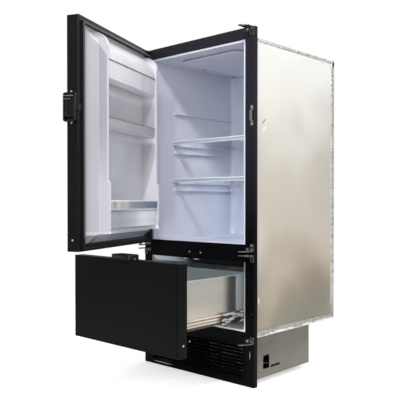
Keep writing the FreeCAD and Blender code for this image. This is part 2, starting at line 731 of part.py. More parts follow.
# Control housing, lamp lens and thermostat knob on the right wall
wall_x = FRIDGE_HALF
inner_x = wall_x - CONTROL_PROUD
control = block(inner_x, wall_x, FACE_Y + CONTROL_FRONT, FACE_Y + CONTROL_BACK,
                CONTROL_BOTTOM, CONTROL_TOP)
control_edges = []
for edge in control.Edges:
    if abs(edge.CenterOfMass.x - inner_x) < CONTROL_PROUD / 4:
        control_edges.append(edge)
control = control.makeFillet(CONTROL_ROUND, control_edges)
control = control.cut(block(inner_x + CONTROL_WALL, wall_x, FACE_Y + CONTROL_FRONT + CONTROL_WALL,
                            FACE_Y + CONTROL_BACK - CONTROL_WALL,
                            CONTROL_BOTTOM + CONTROL_WALL, CONTROL_TOP - CONTROL_WALL))
lens = block(inner_x, inner_x + CONTROL_WALL, FACE_Y + LENS_FRONT, FACE_Y + LENS_BACK,
             CONTROL_BOTTOM + LENS_MARGIN, CONTROL_TOP - LENS_MARGIN)
control = control.cut(lens)
knob_y = FACE_Y + KNOB_DEPTH
control = control.cut(rod(KNOB_STEM_R + RUN_FIT, V(inner_x, knob_y, KNOB_Z),
                          V(inner_x + CONTROL_WALL, knob_y, KNOB_Z)))
knob_face = inner_x - KNOB_GAP
knob = fuse([
    rod(KNOB_SKIRT_R, V(knob_face, knob_y, KNOB_Z), V(knob_face - KNOB_SKIRT, knob_y, KNOB_Z)),
    rod(KNOB_R, V(knob_face, knob_y, KNOB_Z), V(knob_face - KNOB_THICK, knob_y, KNOB_Z)),
    rod(KNOB_STEM_R, V(knob_face, knob_y, KNOB_Z), V(knob_face + KNOB_STEM, knob_y, KNOB_Z)),
])
grip_cut = block(knob_face - KNOB_THICK, knob_face - KNOB_SKIRT, knob_y - KNOB_R, knob_y + KNOB_R,
                 KNOB_Z + KNOB_GRIP, KNOB_Z + KNOB_R)
knob = knob.cut(grip_cut)
knob = knob.cut(grip_cut.mirror(V(0, 0, KNOB_Z), UP))


# Hinge brackets: a leaf screwed to the frame and a blade reaching forward to the hinge line
pivot_y = FACE_Y - PIVOT_AHEAD


def bracket(blade_z, leaf_side, leaf_long):
    blade = fuse([
        block(-PIVOT_X - BLADE_TIP_R, LEAF_OUTER, pivot_y, FACE_Y, blade_z, blade_z + BLADE),
        rod(BLADE_TIP_R, V(-PIVOT_X, pivot_y, blade_z), V(-PIVOT_X, pivot_y, blade_z + BLADE)),
    ])
    corner = polygon([
        V(-PIVOT_X + BLADE_TIP_R, pivot_y, blade_z),
        V(LEAF_OUTER, pivot_y, blade_z),
        V(LEAF_OUTER, pivot_y + LEAF_BAND, blade_z),
    ]).extrude(UP * BLADE)
    blade = blade.cut(corner)
    if leaf_side > 0:
        root = blade_z
        band = block(LEAF_INNER, LEAF_OUTER, FACE_Y - BLADE, FACE_Y, root, root + LEAF_BAND)
        tall = block(LEAF_UPRIGHT, LEAF_OUTER, FACE_Y - BLADE, FACE_Y, root, root + leaf_long)
    else:
        root = blade_z + BLADE
        band = block(LEAF_INNER, LEAF_OUTER, FACE_Y - BLADE, FACE_Y, root - LEAF_BAND, root)
        tall = block(LEAF_UPRIGHT, LEAF_OUTER, FACE_Y - BLADE, FACE_Y, root - leaf_long, root)
    whole = fuse([blade, band, tall])
    hole = rod(PIN_R, V(-PIVOT_X, pivot_y, blade_z - BLADE), V(-PIVOT_X, pivot_y, blade_z + BLADE * 2))
    return whole.cut(hole)


bracket_top = bracket(TOP_BLADE, -1, LEAF_LONG)
bracket_mid_high = bracket(MID_BLADE_HIGH, 1, LEAF_LONG)
bracket_mid_low = bracket(MID_BLADE_LOW, -1, LEAF_LONG)
bracket_low = bracket(LOW_BLADE, 1, LOW_LEAF_LONG)

bracket_screw_points = []
for screw_x in BRACKET_SCREW_XS:
    bracket_screw_points.append((screw_x, TOP_BLADE + BLADE - BRACKET_SCREW_RISE))
    bracket_screw_points.append((screw_x, MID_BLADE_HIGH + BRACKET_SCREW_RISE))
    bracket_screw_points.append((screw_x, MID_BLADE_LOW + BLADE - BRACKET_SCREW_RISE))
    bracket_screw_points.append((screw_x, LOW_BLADE + BRACKET_SCREW_RISE))
upright_x = BRACKET_SCREW_XS[1]
bracket_screw_points.append((upright_x, MID_BLADE_HIGH + MID_SCREW_RISE))
bracket_screw_points.append((upright_x, MID_BLADE_LOW + BLADE - MID_SCREW_RISE))
bracket_screws = []
bracket_holes = []
for screw_x, screw_z in bracket_screw_points:
    for side in (-1, 1):
        point = V(side * screw_x, FACE_Y - BLADE, screw_z)
        bracket_screws.append(screw(point, BACK))
        bracket_holes.append(screw_hole(point, BACK))
drill = Part.makeCompound(bracket_holes)


# Hinge pins: riveted in the two left brackets, running in bushes in the door
def hinge_pin(blade_face, door_face, way):
    start = V(PIVOT_X, pivot_y, blade_face - way * BLADE)
    tip = V(PIVOT_X, pivot_y, door_face + way * PIN_REACH)
    collar_end = V(PIVOT_X, pivot_y, door_face - way * COLLAR_GAP)
    return fuse([rod(PIN_R, start, tip), rod(PIN_COLLAR_R, V(PIVOT_X, pivot_y, blade_face), collar_end)])


pin_low = hinge_pin(MID_BLADE_HIGH + BLADE, DOOR_BOTTOM, 1)
pin_top = hinge_pin(TOP_BLADE, DOOR_TOP, -1)


# Latch parts. out_axis leaves the door's edge, side_axis runs along it, and back is +Y.
def latch_place(shape, edge_point, turned):
    moved = shape.copy()
    if turned:
        moved.rotate(V(0, 0, 0), BACK, -QUARTER)
    moved.translate(edge_point)
    return moved


def latch_outline(points):
    return [V(LATCH_PIVOT_OUT + out, ahead - LATCH_PIVOT_AHEAD, 0) for out, ahead in points]


def make_housing():
    y0 = -LATCH_PIVOT_AHEAD - LATCH_AHEAD
    y1 = -LATCH_PIVOT_AHEAD + LATCH_BEHIND
    base = block(0, LATCH_BASE, y0, y1, -LATCH_HALF, LATCH_HALF)
    ear = block(0, LATCH_TALL, y0, y1, LATCH_HALF - LATCH_EAR, LATCH_HALF)
    ear_edges = []
    for edge in ear.Edges:
        middle = edge.CenterOfMass
        if abs(middle.x - LATCH_TALL) < RUN_FIT and abs(middle.z - LATCH_HALF + LATCH_EAR / 2) < RUN_FIT:
            ear_edges.append(edge)
    ear = ear.makeFillet(LATCH_EAR_ROUND, ear_edges)
    foot_y = y0 + LATCH_FOOT_BACK - LATCH_FOOT_HALF
    foot = block(0, LATCH_BASE, foot_y - LATCH_FOOT_HALF, foot_y + LATCH_FOOT_HALF,
                 LATCH_HALF, LATCH_HALF + LATCH_FOOT)
    bore = rod(LEVER_STUB_R + RUN_FIT, V(LATCH_PIVOT_OUT, -LATCH_PIVOT_AHEAD, LATCH_HALF - LATCH_EAR),
               V(LATCH_PIVOT_OUT, -LATCH_PIVOT_AHEAD, LATCH_HALF))
    side = ear.fuse(foot).cut(bore)
    housing = fuse([base, side, side.mirror(V(0, 0, 0), UP)])
    head = V(LATCH_BASE, foot_y, LATCH_HALF + LATCH_FOOT / 2)
    return housing, head


def make_lever(toe):
    reach = LATCH_HALF - LATCH_EAR - LEVER_SIDE
    plate_points = [
        (LEVER_OUTER - LEVER_PLATE, -LEVER_TIP), (LEVER_OUTER, -LEVER_TIP),
        (LEVER_OUTER, LATCH_BEHIND), (LEVER_OUTER - LEVER_PLATE, LATCH_BEHIND),
    ]
    plate = polygon(latch_outline(plate_points)).extrude(UP * (reach + reach))
    plate.translate(UP * (-reach))
    hub = rod(LEVER_HUB_R, V(LATCH_PIVOT_OUT, -LATCH_PIVOT_AHEAD, -reach),
              V(LATCH_PIVOT_OUT, -LATCH_PIVOT_AHEAD, reach))
    stub_end = reach + LEVER_SIDE + LEVER_STUB
    stub = rod(LEVER_STUB_R, V(LATCH_PIVOT_OUT, -LATCH_PIVOT_AHEAD, -stub_end),
               V(LATCH_PIVOT_OUT, -LATCH_PIVOT_AHEAD, stub_end))
    hook_points = [
        (LEVER_OUTER - LEVER_PLATE - HOOK_THICK, 0), (LEVER_OUTER, 0),
        (LEVER_OUTER - LEVER_PLATE / 2, HOOK_END), (-toe, HOOK_END),
        (-toe, HOOK_LEVEL), (LEVER_OUTER - LEVER_PLATE - HOOK_THICK, HOOK_LEVEL),
    ]
    hook = polygon(latch_outline(hook_points)).extrude(UP * (HOOK_HALF + HOOK_HALF))
    hook.translate(UP * (-HOOK_HALF))
    return fuse([plate, hub, stub, hook])


def make_striker(far, near, ear_end):
    outer = block(far, near, -STRIKER_PROUD, 0, -STRIKER_BRIDGE_HALF, STRIKER_BRIDGE_HALF)
    inner_bridge = STRIKER_BRIDGE_HALF - STRIKER_WALL
    outer = outer.cut(block(far, near, STRIKER_WALL - STRIKER_PROUD, 0,
                            -inner_bridge, inner_bridge))
    ear = block(far, ear_end, -STRIKER_WALL, 0, inner_bridge, STRIKER_HALF)
    return fuse([outer, ear, ear.mirror(V(0, 0, 0), UP)])


housing_blank, housing_screw = make_housing()
door_edge = V(DOOR_HALF, FACE_Y, LATCH_LINE_Z)
drawer_edge_closed = V(0, FACE_Y, DRAWER_TOP)
door_striker = latch_place(
    make_striker(DOOR_STRIKER_FAR, DOOR_STRIKER_NEAR, DOOR_STRIKER_NEAR), door_edge, False)
drawer_striker = latch_place(
    make_striker(DRAWER_STRIKER_FAR, DRAWER_STRIKER_NEAR, DRAWER_EAR_END), drawer_edge_closed, True)
striker_screws = []
striker_holes = []
striker_middle = (DOOR_STRIKER_NEAR + DOOR_STRIKER_FAR) / 2
for edge_point, screw_out, turned in ((door_edge, striker_middle, False),
                                      (drawer_edge_closed, DRAWER_STRIKER_SCREW_OUT, True)):
    for way in (-1, 1):
        local = V(screw_out, -STRIKER_WALL, way * STRIKER_SCREW)
        bolt = screw(local, BACK)
        striker_screws.append(latch_place(bolt, edge_point, turned))
        striker_holes.append(latch_place(screw_hole(local, BACK), edge_point, turned))
striker_drill = Part.makeCompound(striker_holes)
door_striker = door_striker.cut(striker_drill)
drawer_striker = drawer_striker.cut(striker_drill)

# Screws seen on the frame's upright sides
frame_screws = []
frame_holes = []
for screw_z in FRAME_SCREW_ZS:
    for side in (-1, 1):
        point = V(side * FRAME_SCREW_X, FACE_Y, screw_z)
        frame_screws.append(screw(point, BACK))
        frame_holes.append(screw_hole(point, BACK))
frame_drill = Part.makeCompound(frame_holes)

# Fridge door in its closed place
door_front = FACE_Y - DOOR_FRONT_AHEAD
door_back = FACE_Y - DOOR_BACK_AHEAD
door_outer = block(-DOOR_HALF, DOOR_HALF, door_front, door_back, DOOR_BOTTOM, DOOR_TOP)
door_shell_solid = rear_rounds(door_outer, DOOR_REAR_ROUND, door_back)
front_edges = []
for edge in door_shell_solid.Edges:
    if abs(edge.CenterOfMass.y - door_front) < DOOR_EDGE_ROUND / 2:
        front_edges.append(edge)
door_shell_solid = door_shell_solid.makeFillet(DOOR_EDGE_ROUND, front_edges)
skin_half = DOOR_HALF - DOOR_SKIN
foam_space = block(-skin_half, skin_half, door_front + DOOR_SKIN, door_back - DOOR_SKIN,
                   DOOR_BOTTOM + DOOR_SKIN, DOOR_TOP - DOOR_SKIN)
foam_space = rear_rounds(foam_space, DOOR_REAR_ROUND - DOOR_SKIN, door_back - DOOR_SKIN)
mouth_half = DOOR_HALF - DOOR_LIP
mouth = block(-mouth_half, mouth_half, door_back - DOOR_SKIN, door_back,
              DOOR_BOTTOM + DOOR_LIP, DOOR_TOP - DOOR_LIP)
door_shell = door_shell_solid.cut(foam_space).cut(mouth)
bush_low = rod(BUSH_R, V(PIVOT_X, pivot_y, DOOR_BOTTOM + DOOR_SKIN),
               V(PIVOT_X, pivot_y, DOOR_BOTTOM + DOOR_SKIN + BUSH_LONG))
bush_top = rod(BUSH_R, V(PIVOT_X, pivot_y, DOOR_TOP - DOOR_SKIN - BUSH_LONG),
               V(PIVOT_X, pivot_y, DOOR_TOP - DOOR_SKIN))
bore_long = DOOR_SKIN + BUSH_LONG
bore_r = PIN_R + RUN_FIT
hinge_bore = Part.makeCompound([
    rod(bore_r, V(PIVOT_X, pivot_y, DOOR_BOTTOM), V(PIVOT_X, pivot_y, DOOR_BOTTOM + bore_long)),
    rod(bore_r, V(PIVOT_X, pivot_y, DOOR_TOP), V(PIVOT_X, pivot_y, DOOR_TOP - bore_long)),
])
bush_low = bush_low.common(foam_space)
bush_top = bush_top.common(foam_space)
bushes = Part.makeCompound([bush_low.cut(hinge_bore), bush_top.cut(hinge_bore)])
door_shell = door_shell.cut(hinge_bore)

# Door liner: a flat sheet, a raised dyke round it and two cheeks that carry the bins
liner_sheet = block(-mouth_half, mouth_half, door_back - LINER_WALL, door_back,
                    DOOR_BOTTOM + DOOR_LIP, DOOR_TOP - DOOR_LIP)


def upright_frame(half, y, low, high):
    points = [V(-half, y, low), V(half, y, low), V(half, y, high), V(-half, y, high)]
    return Part.makePolygon(points + [points[0]])


dyke_top_half = DYKE_BASE_HALF - DYKE_SLOPE
dyke = Part.makeLoft([
    upright_frame(DYKE_BASE_HALF, door_back, DYKE_BASE_BOTTOM, DYKE_BASE_TOP),
    upright_frame(dyke_top_half, door_back + DYKE_RISE,
                  DYKE_BASE_BOTTOM + DYKE_SLOPE, DYKE_BASE_TOP - DYKE_SLOPE),
], True, True)
dyke_hollow = block(DYKE_WIDTH - dyke_top_half, dyke_top_half - DYKE_WIDTH,
                    door_back, door_back + DYKE_RISE,
                    DYKE_BASE_BOTTOM + DYKE_SLOPE + DYKE_WIDTH,
                    DYKE_BASE_TOP - DYKE_SLOPE - DYKE_WIDTH)
dyke = dyke.cut(dyke_hollow)


def cheek(inset, x0, x1):
    y0 = door_back
    y1 = door_back + CHEEK_PROUD - inset
    y2 = y1 + CHEEK_STEP
    top = CHEEK_TOP_BACK - inset
    mid = CHEEK_TOP_FRONT - inset
    low = CHEEK_BOTTOM + inset
    start = V(x0, y0, top)
    end = V(x0, y1, mid)
    bend = V(x0, y0 + (y1 - y0) * CHEEK_BEND_SHARE, mid + (top - mid) * CHEEK_BEND_SHARE)
    lines = [
        Part.Arc(start, bend, end).toShape(),
        Part.makeLine(end, V(x0, y1, CHEEK_STEP_Z)),
        Part.makeLine(V(x0, y1, CHEEK_STEP_Z), V(x0, y2, CHEEK_STEP_Z - CHEEK_STEP_RUN)),
        Part.makeLine(V(x0, y2, CHEEK_STEP_Z - CHEEK_STEP_RUN), V(x0, y2, low)),
        Part.makeLine(V(x0, y2, low), V(x0, y0, low)),
        Part.makeLine(V(x0, y0, low), start),
    ]
    return Part.Face(Part.Wire(lines)).extrude(V(x1 - x0, 0, 0))


cheek_right = cheek(0, CHEEK_OUTER - CHEEK_THICK, CHEEK_OUTER)
cheek_core = cheek(CHEEK_SKIN, CHEEK_OUTER - CHEEK_THICK + CHEEK_SKIN, CHEEK_OUTER - CHEEK_SKIN)
lugs = []
for low, high in BIN_LEVELS.values():
    lug = block(BIN_HALF - LUG_PROUD, BIN_HALF, door_back + LUG_BACK, door_back + LUG_FRONT,
                low - LUG_TALL, low)
    lugs.append(lug)
    lugs.append(mirrored(lug))
door_liner = fuse([liner_sheet, dyke, cheek_right, mirrored(cheek_right)] + lugs)
cheek_slot = block(CHEEK_OUTER - CHEEK_THICK + CHEEK_SKIN, CHEEK_OUTER - CHEEK_SKIN,
                   door_back - LINER_WALL, door_back,
                   CHEEK_BOTTOM + CHEEK_SKIN, CHEEK_TOP_BACK - CHEEK_SKIN)
filling = cheek_core.fuse(cheek_slot).removeSplitter()
door_liner = door_liner.cut(filling).cut(mirrored(filling)).removeSplitter()
door_foam = foam_space.fuse([filling, mirrored(filling)]).removeSplitter()
door_foam = door_foam.cut(Part.makeCompound([bush_low, bush_top]))
door_foam = door_foam.cut(hinge_bore)

# Door seal: a flat base and a softer bead that meets the frame
seal_back = FACE_Y - SEAL_GAP


def seal(half, low, high, width, y0, y1):
    base = ring(half, low, high, y0, y0 + SEAL_CHANNEL, width)
    bead = ring(half - SEAL_LIP / 2, low + SEAL_LIP / 2, high - SEAL_LIP / 2,
                y0 + SEAL_CHANNEL, y1, width - SEAL_LIP)
    return base.fuse(bead).removeSplitter()


door_seal = seal(SEAL_OUTER_HALF, SEAL_BOTTOM, SEAL_TOP, SEAL_WIDTH, door_back, seal_back)


# Door bins: shallow trays between the cheeks, and a metal bar above the lowest one
def door_bin(low, high, front):
    y0 = door_back + BIN_BACK
    y1 = door_back + front
    tray = block(-BIN_HALF, BIN_HALF, y0, y1, low, high)
    return tray.cut(block(BIN_WALL - BIN_HALF, BIN_HALF - BIN_WALL, y0 + BIN_WALL, y1 - BIN_WALL,
                          low + BIN_WALL, high))


bins = {}
for bin_name, levels in BIN_LEVELS.items():
    bin_front = BIN_LOW_FRONT if bin_name == "lower" else BIN_FRONT
    bins[bin_name] = door_bin(levels[0], levels[1], bin_front)
bar_y = door_back + BAR_PROUD
bar_face = block(-BIN_HALF, BIN_HALF, bar_y - BAR_THICK, bar_y, BAR_BOTTOM, BAR_TOP)
bar_tab = block(BIN_HALF - BAR_THICK, BIN_HALF, bar_y - BAR_TAB, bar_y, BAR_BOTTOM, BAR_TOP)
bottle_bar = fuse([bar_face, bar_tab, mirrored(bar_tab)])

# Latch parts on the door and screws in its free edge
door_housing = latch_place(housing_blank, door_edge, False)
door_lever = latch_place(make_lever(DOOR_HOOK_TOE), door_edge, False)
door_screws = []
door_screw_holes = []
for way in (-1, 1):
    local = V(housing_screw.x, housing_screw.y, way * housing_screw.z)
    door_screws.append(latch_place(screw(local, LEFT), door_edge, False))
    door_screw_holes.append(latch_place(screw_hole(local, LEFT), door_edge, False))
for screw_z in (DOOR_BOTTOM + EDGE_SCREW_RISE, DOOR_TOP - EDGE_SCREW_RISE):
    point = V(DOOR_HALF, door_front + EDGE_SCREW_BACK, screw_z)
    door_screws.append(screw(point, LEFT))
    door_screw_holes.append(screw_hole(point, LEFT))
door_drill = Part.makeCompound(door_screw_holes)
door_shell = door_shell.cut(door_drill)
door_foam = door_foam.cut(door_drill)
door_housing = door_housing.cut(door_drill)


def opened(shape):
    turned = shape.copy()
    turned.rotate(V(PIVOT_X, pivot_y, 0), UP, -DOOR_OPEN_DEG)
    return turned


# Freezer drawer in its pulled-out place
drawer_back = FACE_Y - DOOR_BACK_AHEAD - DRAWER_OUT
drawer_front = drawer_back - DRAWER_THICK
drawer_block = block(-DRAWER_HALF, DRAWER_HALF, drawer_front, drawer_back, DRAWER_BOTTOM, DRAWER_TOP)
drawer_solid = upright_rounds(drawer_block, DOOR_EDGE_ROUND, DRAWER_BOTTOM, DRAWER_TOP)
inner_drawer = DRAWER_HALF - DRAWER_SKIN
drawer_space = block(-inner_drawer, inner_drawer, drawer_front + DRAWER_SKIN,
                     drawer_back - DRAWER_SKIN, DRAWER_BOTTOM + DRAWER_SKIN, DRAWER_TOP - DRAWER_SKIN)
drawer_mouth_half = DRAWER_HALF - DRAWER_LIP
drawer_mouth = block(-drawer_mouth_half, drawer_mouth_half, drawer_back - DRAWER_SKIN, drawer_back,
                     DRAWER_BOTTOM + DRAWER_LIP, DRAWER_TOP - DRAWER_LIP)
drawer_shell = drawer_solid.cut(drawer_space).cut(drawer_mouth)
groove_outer = DRAWER_HALF - DRAWER_BORDER
groove_inner = groove_outer - DRAWER_GROOVE_WIDE
panel_groove = block(-groove_outer, groove_outer, drawer_front, drawer_front + DRAWER_GROOVE,
                     DRAWER_BOTTOM + DRAWER_BORDER, DRAWER_TOP - DRAWER_BORDER)
panel_groove = panel_groove.cut(
    block(-groove_inner, groove_inner, drawer_front, drawer_front + DRAWER_GROOVE,
          DRAWER_BOTTOM + DRAWER_BORDER + DRAWER_GROOVE_WIDE,
          DRAWER_TOP - DRAWER_BORDER - DRAWER_GROOVE_WIDE))
drawer_shell = drawer_shell.cut(panel_groove)
drawer_foam = drawer_space
drawer_panel = drawer_mouth
seal_inner_half = DRAWER_SEAL_HALF - DRAWER_SEAL_WIDTH
inner_plate = block(-seal_inner_half, seal_inner_half, drawer_back, drawer_back + INNER_PANEL,
                    DRAWER_SEAL_BOTTOM + DRAWER_SEAL_WIDTH, DRAWER_SEAL_TOP - DRAWER_SEAL_WIDTH)
drawer_panel = drawer_panel.fuse(inner_plate).removeSplitter()
drawer_seal = seal(DRAWER_SEAL_HALF, DRAWER_SEAL_BOTTOM, DRAWER_SEAL_TOP, DRAWER_SEAL_WIDTH,
                   drawer_back, FACE_Y - SEAL_GAP - DRAWER_OUT)

# Drawer box of folded sheet with a rolled top edge
box_front = drawer_back + INNER_PANEL
box_back = box_front + BOX_LONG
drawer_box = block(-BOX_HALF, BOX_HALF, box_front, box_back, BOX_BOTTOM, BOX_TOP)
drawer_box = drawer_box.cut(block(BOX_WALL - BOX_HALF, BOX_HALF - BOX_WALL, box_front + BOX_WALL,
                                  box_back - BOX_WALL, BOX_BOTTOM + BOX_WALL, BOX_TOP))
hem = block(-BOX_HALF, BOX_HALF, box_front, box_back, BOX_TOP - BOX_WALL, BOX_TOP)
hem = hem.cut(block(BOX_HEM - BOX_HALF, BOX_HALF - BOX_HEM, box_front + BOX_HEM, box_back - BOX_HEM,
                    BOX_TOP - BOX_WALL, BOX_TOP))
drawer_box = drawer_box.fuse(hem).removeSplitter()

# Latch on the drawer's top edge
drawer_edge = V(0, FACE_Y - DRAWER_OUT, DRAWER_TOP)
drawer_housing = latch_place(housing_blank, drawer_edge, True)
drawer_lever = latch_place(make_lever(DRAWER_HOOK_TOE), drawer_edge, True)
drawer_screws = []
drawer_screw_holes = []
for way in (-1, 1):
    local = V(housing_screw.x, housing_screw.y, way * housing_screw.z)
    drawer_screws.append(latch_place(screw(local, LEFT), drawer_edge, True))
    drawer_screw_holes.append(latch_place(screw_hole(local, LEFT), drawer_edge, True))
for side in (-1, 1):
    point = V(side * DRAWER_HALF, drawer_front + DRAWER_THICK / 2, DRAWER_BOTTOM + SIDE_SCREW_RISE)
    inward = V(-side, 0, 0)
    drawer_screws.append(screw(point, inward))
    drawer_screw_holes.append(screw_hole(point, inward))
drawer_drill = Part.makeCompound(drawer_screw_holes)
drawer_shell = drawer_shell.cut(drawer_drill)
drawer_foam = drawer_foam.cut(drawer_drill)
drawer_housing = drawer_housing.cut(drawer_drill)


# Telescopic slides: three nested channels on each side
def channel(web_outer, lip, tall, y0, y1):
    low = SLIDE_Z - tall / 2
    high = SLIDE_Z + tall / 2
    whole = block(lip, web_outer, y0, y1, low, high)
    return whole.cut(block(lip, web_outer - SLIDE_WALL, y0, y1, low + SLIDE_WALL, high - SLIDE_WALL))


outer_y = FACE_Y + SLIDE_OUTER_START
slide_outer = channel(FREEZER_HALF, SLIDE_LIP_X, SLIDE_OUTER_TALL, outer_y,
                      outer_y + SLIDE_OUTER_LONG)
mid_y = FACE_Y + SLIDE_MID_START - DRAWER_OUT / 2
slide_mid = channel(SLIDE_MID_WEB, SLIDE_LIP_X, SLIDE_MID_TALL, mid_y, mid_y + SLIDE_MID_LONG)
inner_low = SLIDE_Z - SLIDE_INNER_TALL / 2
inner_high = SLIDE_Z + SLIDE_INNER_TALL / 2
glides = []
inside_half = SLIDE_MID_TALL / 2 - SLIDE_WALL
for starts, inner_end, outer_end, x0 in (
    (GLIDE_INNER_STARTS, SLIDE_INNER_TALL / 2 + GLIDE_GAP, inside_half, SLIDE_LIP_X),
    (GLIDE_OUTER_STARTS, SLIDE_MID_TALL / 2, SLIDE_OUTER_TALL / 2 - SLIDE_WALL - GLIDE_GAP, SLIDE_LIP_X),
):
    for start in starts:
        y0 = mid_y + start
        glide_x1 = SLIDE_INNER_LIP
        glides.append(block(x0, glide_x1, y0, y0 + GLIDE_LONG, SLIDE_Z + inner_end, SLIDE_Z + outer_end))
        glides.append(block(x0, glide_x1, y0, y0 + GLIDE_LONG, SLIDE_Z - outer_end, SLIDE_Z - inner_end))
slide_mid = fuse([slide_mid] + glides)
slide_inner = block(BOX_HALF, SLIDE_INNER_LIP, box_front, box_front + SLIDE_INNER_LONG,
                    inner_low, inner_high)
slide_inner = slide_inner.cut(block(BOX_HALF + SLIDE_WALL, SLIDE_INNER_LIP, box_front,
                                    box_front + SLIDE_INNER_LONG,
                                    inner_low + SLIDE_WALL, inner_high - SLIDE_WALL))

# Machine compartment: folded side, back and lower edges
machine_top = SHELL_BOTTOM
machine_back = FACE_Y + MACHINE_DEPTH
machine = block(-BOX_SIDE_HALF, BOX_SIDE_HALF, back_of_plate, machine_back, MACHINE_BOTTOM, machine_top)
machine_inner = BOX_SIDE_HALF - BOX_SIDE_WALL
machine = machine.cut(block(-machine_inner, machine_inner, back_of_plate,
                            machine_back - BOX_SIDE_WALL, MACHINE_BOTTOM, machine_top))
cut_out = block(-BOX_SIDE_HALF, BOX_SIDE_HALF, FACE_Y + CUT_FRONT, FACE_Y + CUT_BACK, CUT_BOTTOM, CUT_TOP)
slot_cut = block(-BOX_SIDE_HALF, BOX_SIDE_HALF, FACE_Y + SLOT_FRONT, FACE_Y + SLOT_BACK,
                 CUT_BOTTOM, CUT_BOTTOM + SLOT_HALF + SLOT_HALF)
machine = machine.cut(cut_out).cut(slot_cut)
for hole_z in SIDE_HOLE_ZS:
    hole_y = FACE_Y + SIDE_HOLE_DEPTH
    machine = machine.cut(rod(SIDE_HOLE_R, V(-BOX_SIDE_HALF, hole_y, hole_z),
                              V(BOX_SIDE_HALF, hole_y, hole_z)))
for row in range(REAR_SLOT_COUNT):
    slot_low = REAR_SLOT_BOTTOM + row * REAR_SLOT_PITCH
    machine = machine.cut(block(REAR_SLOT_HALF / 4, REAR_SLOT_HALF + REAR_SLOT_HALF / 4,
                                machine_back - BOX_SIDE_WALL, machine_back,
                                slot_low, slot_low + REAR_SLOT_TALL))

# Base tray: its flat underside is what the part stands on
tray_front = FACE_Y + TRAY_FRONT
tray_back = FACE_Y + TRAY_BACK
tray = block(-TRAY_HALF, TRAY_HALF, tray_front, tray_back, 0, MACHINE_BOTTOM)
tray = upright_rounds(tray, TRAY_ROUND, 0, MACHINE_BOTTOM)
tray_hollow = block(TRAY_WALL - TRAY_HALF, TRAY_HALF - TRAY_WALL, tray_front + TRAY_WALL,
                    tray_back - TRAY_WALL, TRAY_WALL, MACHINE_BOTTOM + TRAY_WALL)
tray_hollow = upright_rounds(tray_hollow, TRAY_ROUND - TRAY_WALL, 0, MACHINE_BOTTOM)
tray_flange = block(-machine_inner, machine_inner, FACE_Y + TRAY_FLANGE_FRONT,
                    machine_back - BOX_SIDE_WALL, MACHINE_BOTTOM, MACHINE_BOTTOM + TRAY_WALL)
tray = tray.fuse(tray_flange).cut(tray_hollow).removeSplitter()

# Louvred grille
grille_y0 = FACE_Y - GRILLE_AHEAD
grille_y1 = grille_y0 + GRILLE_DEPTH
grille_parts = [ring(GRILLE_HALF, GRILLE_BOTTOM, GRILLE_TOP, grille_y0, grille_y1, GRILLE_FRAME)]
louvre_low = GRILLE_BOTTOM + GRILLE_FRAME
louvre_pitch = (GRILLE_TOP - GRILLE_FRAME - louvre_low) / LOUVRE_COUNT
louvre_half = GRILLE_HALF - GRILLE_FRAME / 2
for row in range(LOUVRE_COUNT):
    slat_z = louvre_low + louvre_pitch * row + louvre_pitch / 4
    slat = polygon([
        V(-louvre_half, grille_y0 + GRILLE_AHEAD, slat_z),
        V(-louvre_half, grille_y0 + GRILLE_AHEAD, slat_z + LOUVRE_THICK),
        V(-louvre_half, grille_y1 - GRILLE_AHEAD, slat_z + LOUVRE_THICK + LOUVRE_FALL),
        V(-louvre_half, grille_y1 - GRILLE_AHEAD, slat_z + LOUVRE_FALL),
    ]).extrude(V(louvre_half + louvre_half, 0, 0))
    grille_parts.append(slat)
for bar_x in LOUVRE_BAR_XS:
    grille_parts.append(block(bar_x - LOUVRE_BAR_HALF, bar_x + LOUVRE_BAR_HALF,
                              grille_y1 - GRILLE_DEPTH / 2, grille_y1, GRILLE_BOTTOM, GRILLE_TOP))
grille_screw_x = LOUVRE_BAR_XS[1]
boss_front = V(grille_screw_x, grille_y0 + GRILLE_AHEAD, GRILLE_SCREW_Z)
boss_back = V(grille_screw_x, grille_y1, GRILLE_SCREW_Z)
grille_parts.append(rod(GRILLE_BOSS_R, boss_front, boss_back))
grille_screw = screw(boss_front, BACK)
grille = fuse(grille_parts).cut(screw_hole(boss_front, BACK))

# Compressor: welded steel shell on a foot plate with rubber grommets
comp_y = FACE_Y + COMP_DEPTH
comp_body = block(COMP_X - COMP_HALF_X, COMP_X + COMP_HALF_X, comp_y - COMP_HALF_Y,
                  comp_y + COMP_HALF_Y, COMP_BOTTOM, COMP_TOP)
comp_body = comp_body.makeFillet(COMP_ROUND, comp_body.Edges)
seam_x = COMP_HALF_X + COMP_SEAM_PROUD
seam_y = COMP_HALF_Y + COMP_SEAM_PROUD
seam = block(COMP_X - seam_x, COMP_X + seam_x, comp_y - seam_y, comp_y + seam_y,
             COMP_SEAM, COMP_SEAM + COMP_SEAM_THICK)
seam = upright_rounds(seam, COMP_ROUND + COMP_SEAM_PROUD, COMP_SEAM, COMP_SEAM + COMP_SEAM_THICK)
foot_low = TRAY_WALL + GROMMET_TALL
foot_plate = block(COMP_X - FOOT_HALF_X, COMP_X + FOOT_HALF_X, comp_y - FOOT_HALF_Y,
                   comp_y + FOOT_HALF_Y, foot_low, foot_low + FOOT_PLATE)
belly = rod(COMP_ROUND, V(COMP_X, comp_y, foot_low), V(COMP_X, comp_y, COMP_BOTTOM + COMP_ROUND))
compressor = fuse([comp_body, seam, foot_plate, belly])
grommets = []
for grommet_x in (COMP_X - FOOT_X, COMP_X + FOOT_X):
    for grommet_y in (comp_y - FOOT_Y, comp_y + FOOT_Y):
        low_point = V(grommet_x, grommet_y, TRAY_WALL)
        high_point = V(grommet_x, grommet_y, foot_low)
        grommets.append(rod(GROMMET_R, low_point, high_point).cut(
            rod(GROMMET_HOLE_R, low_point, high_point)))

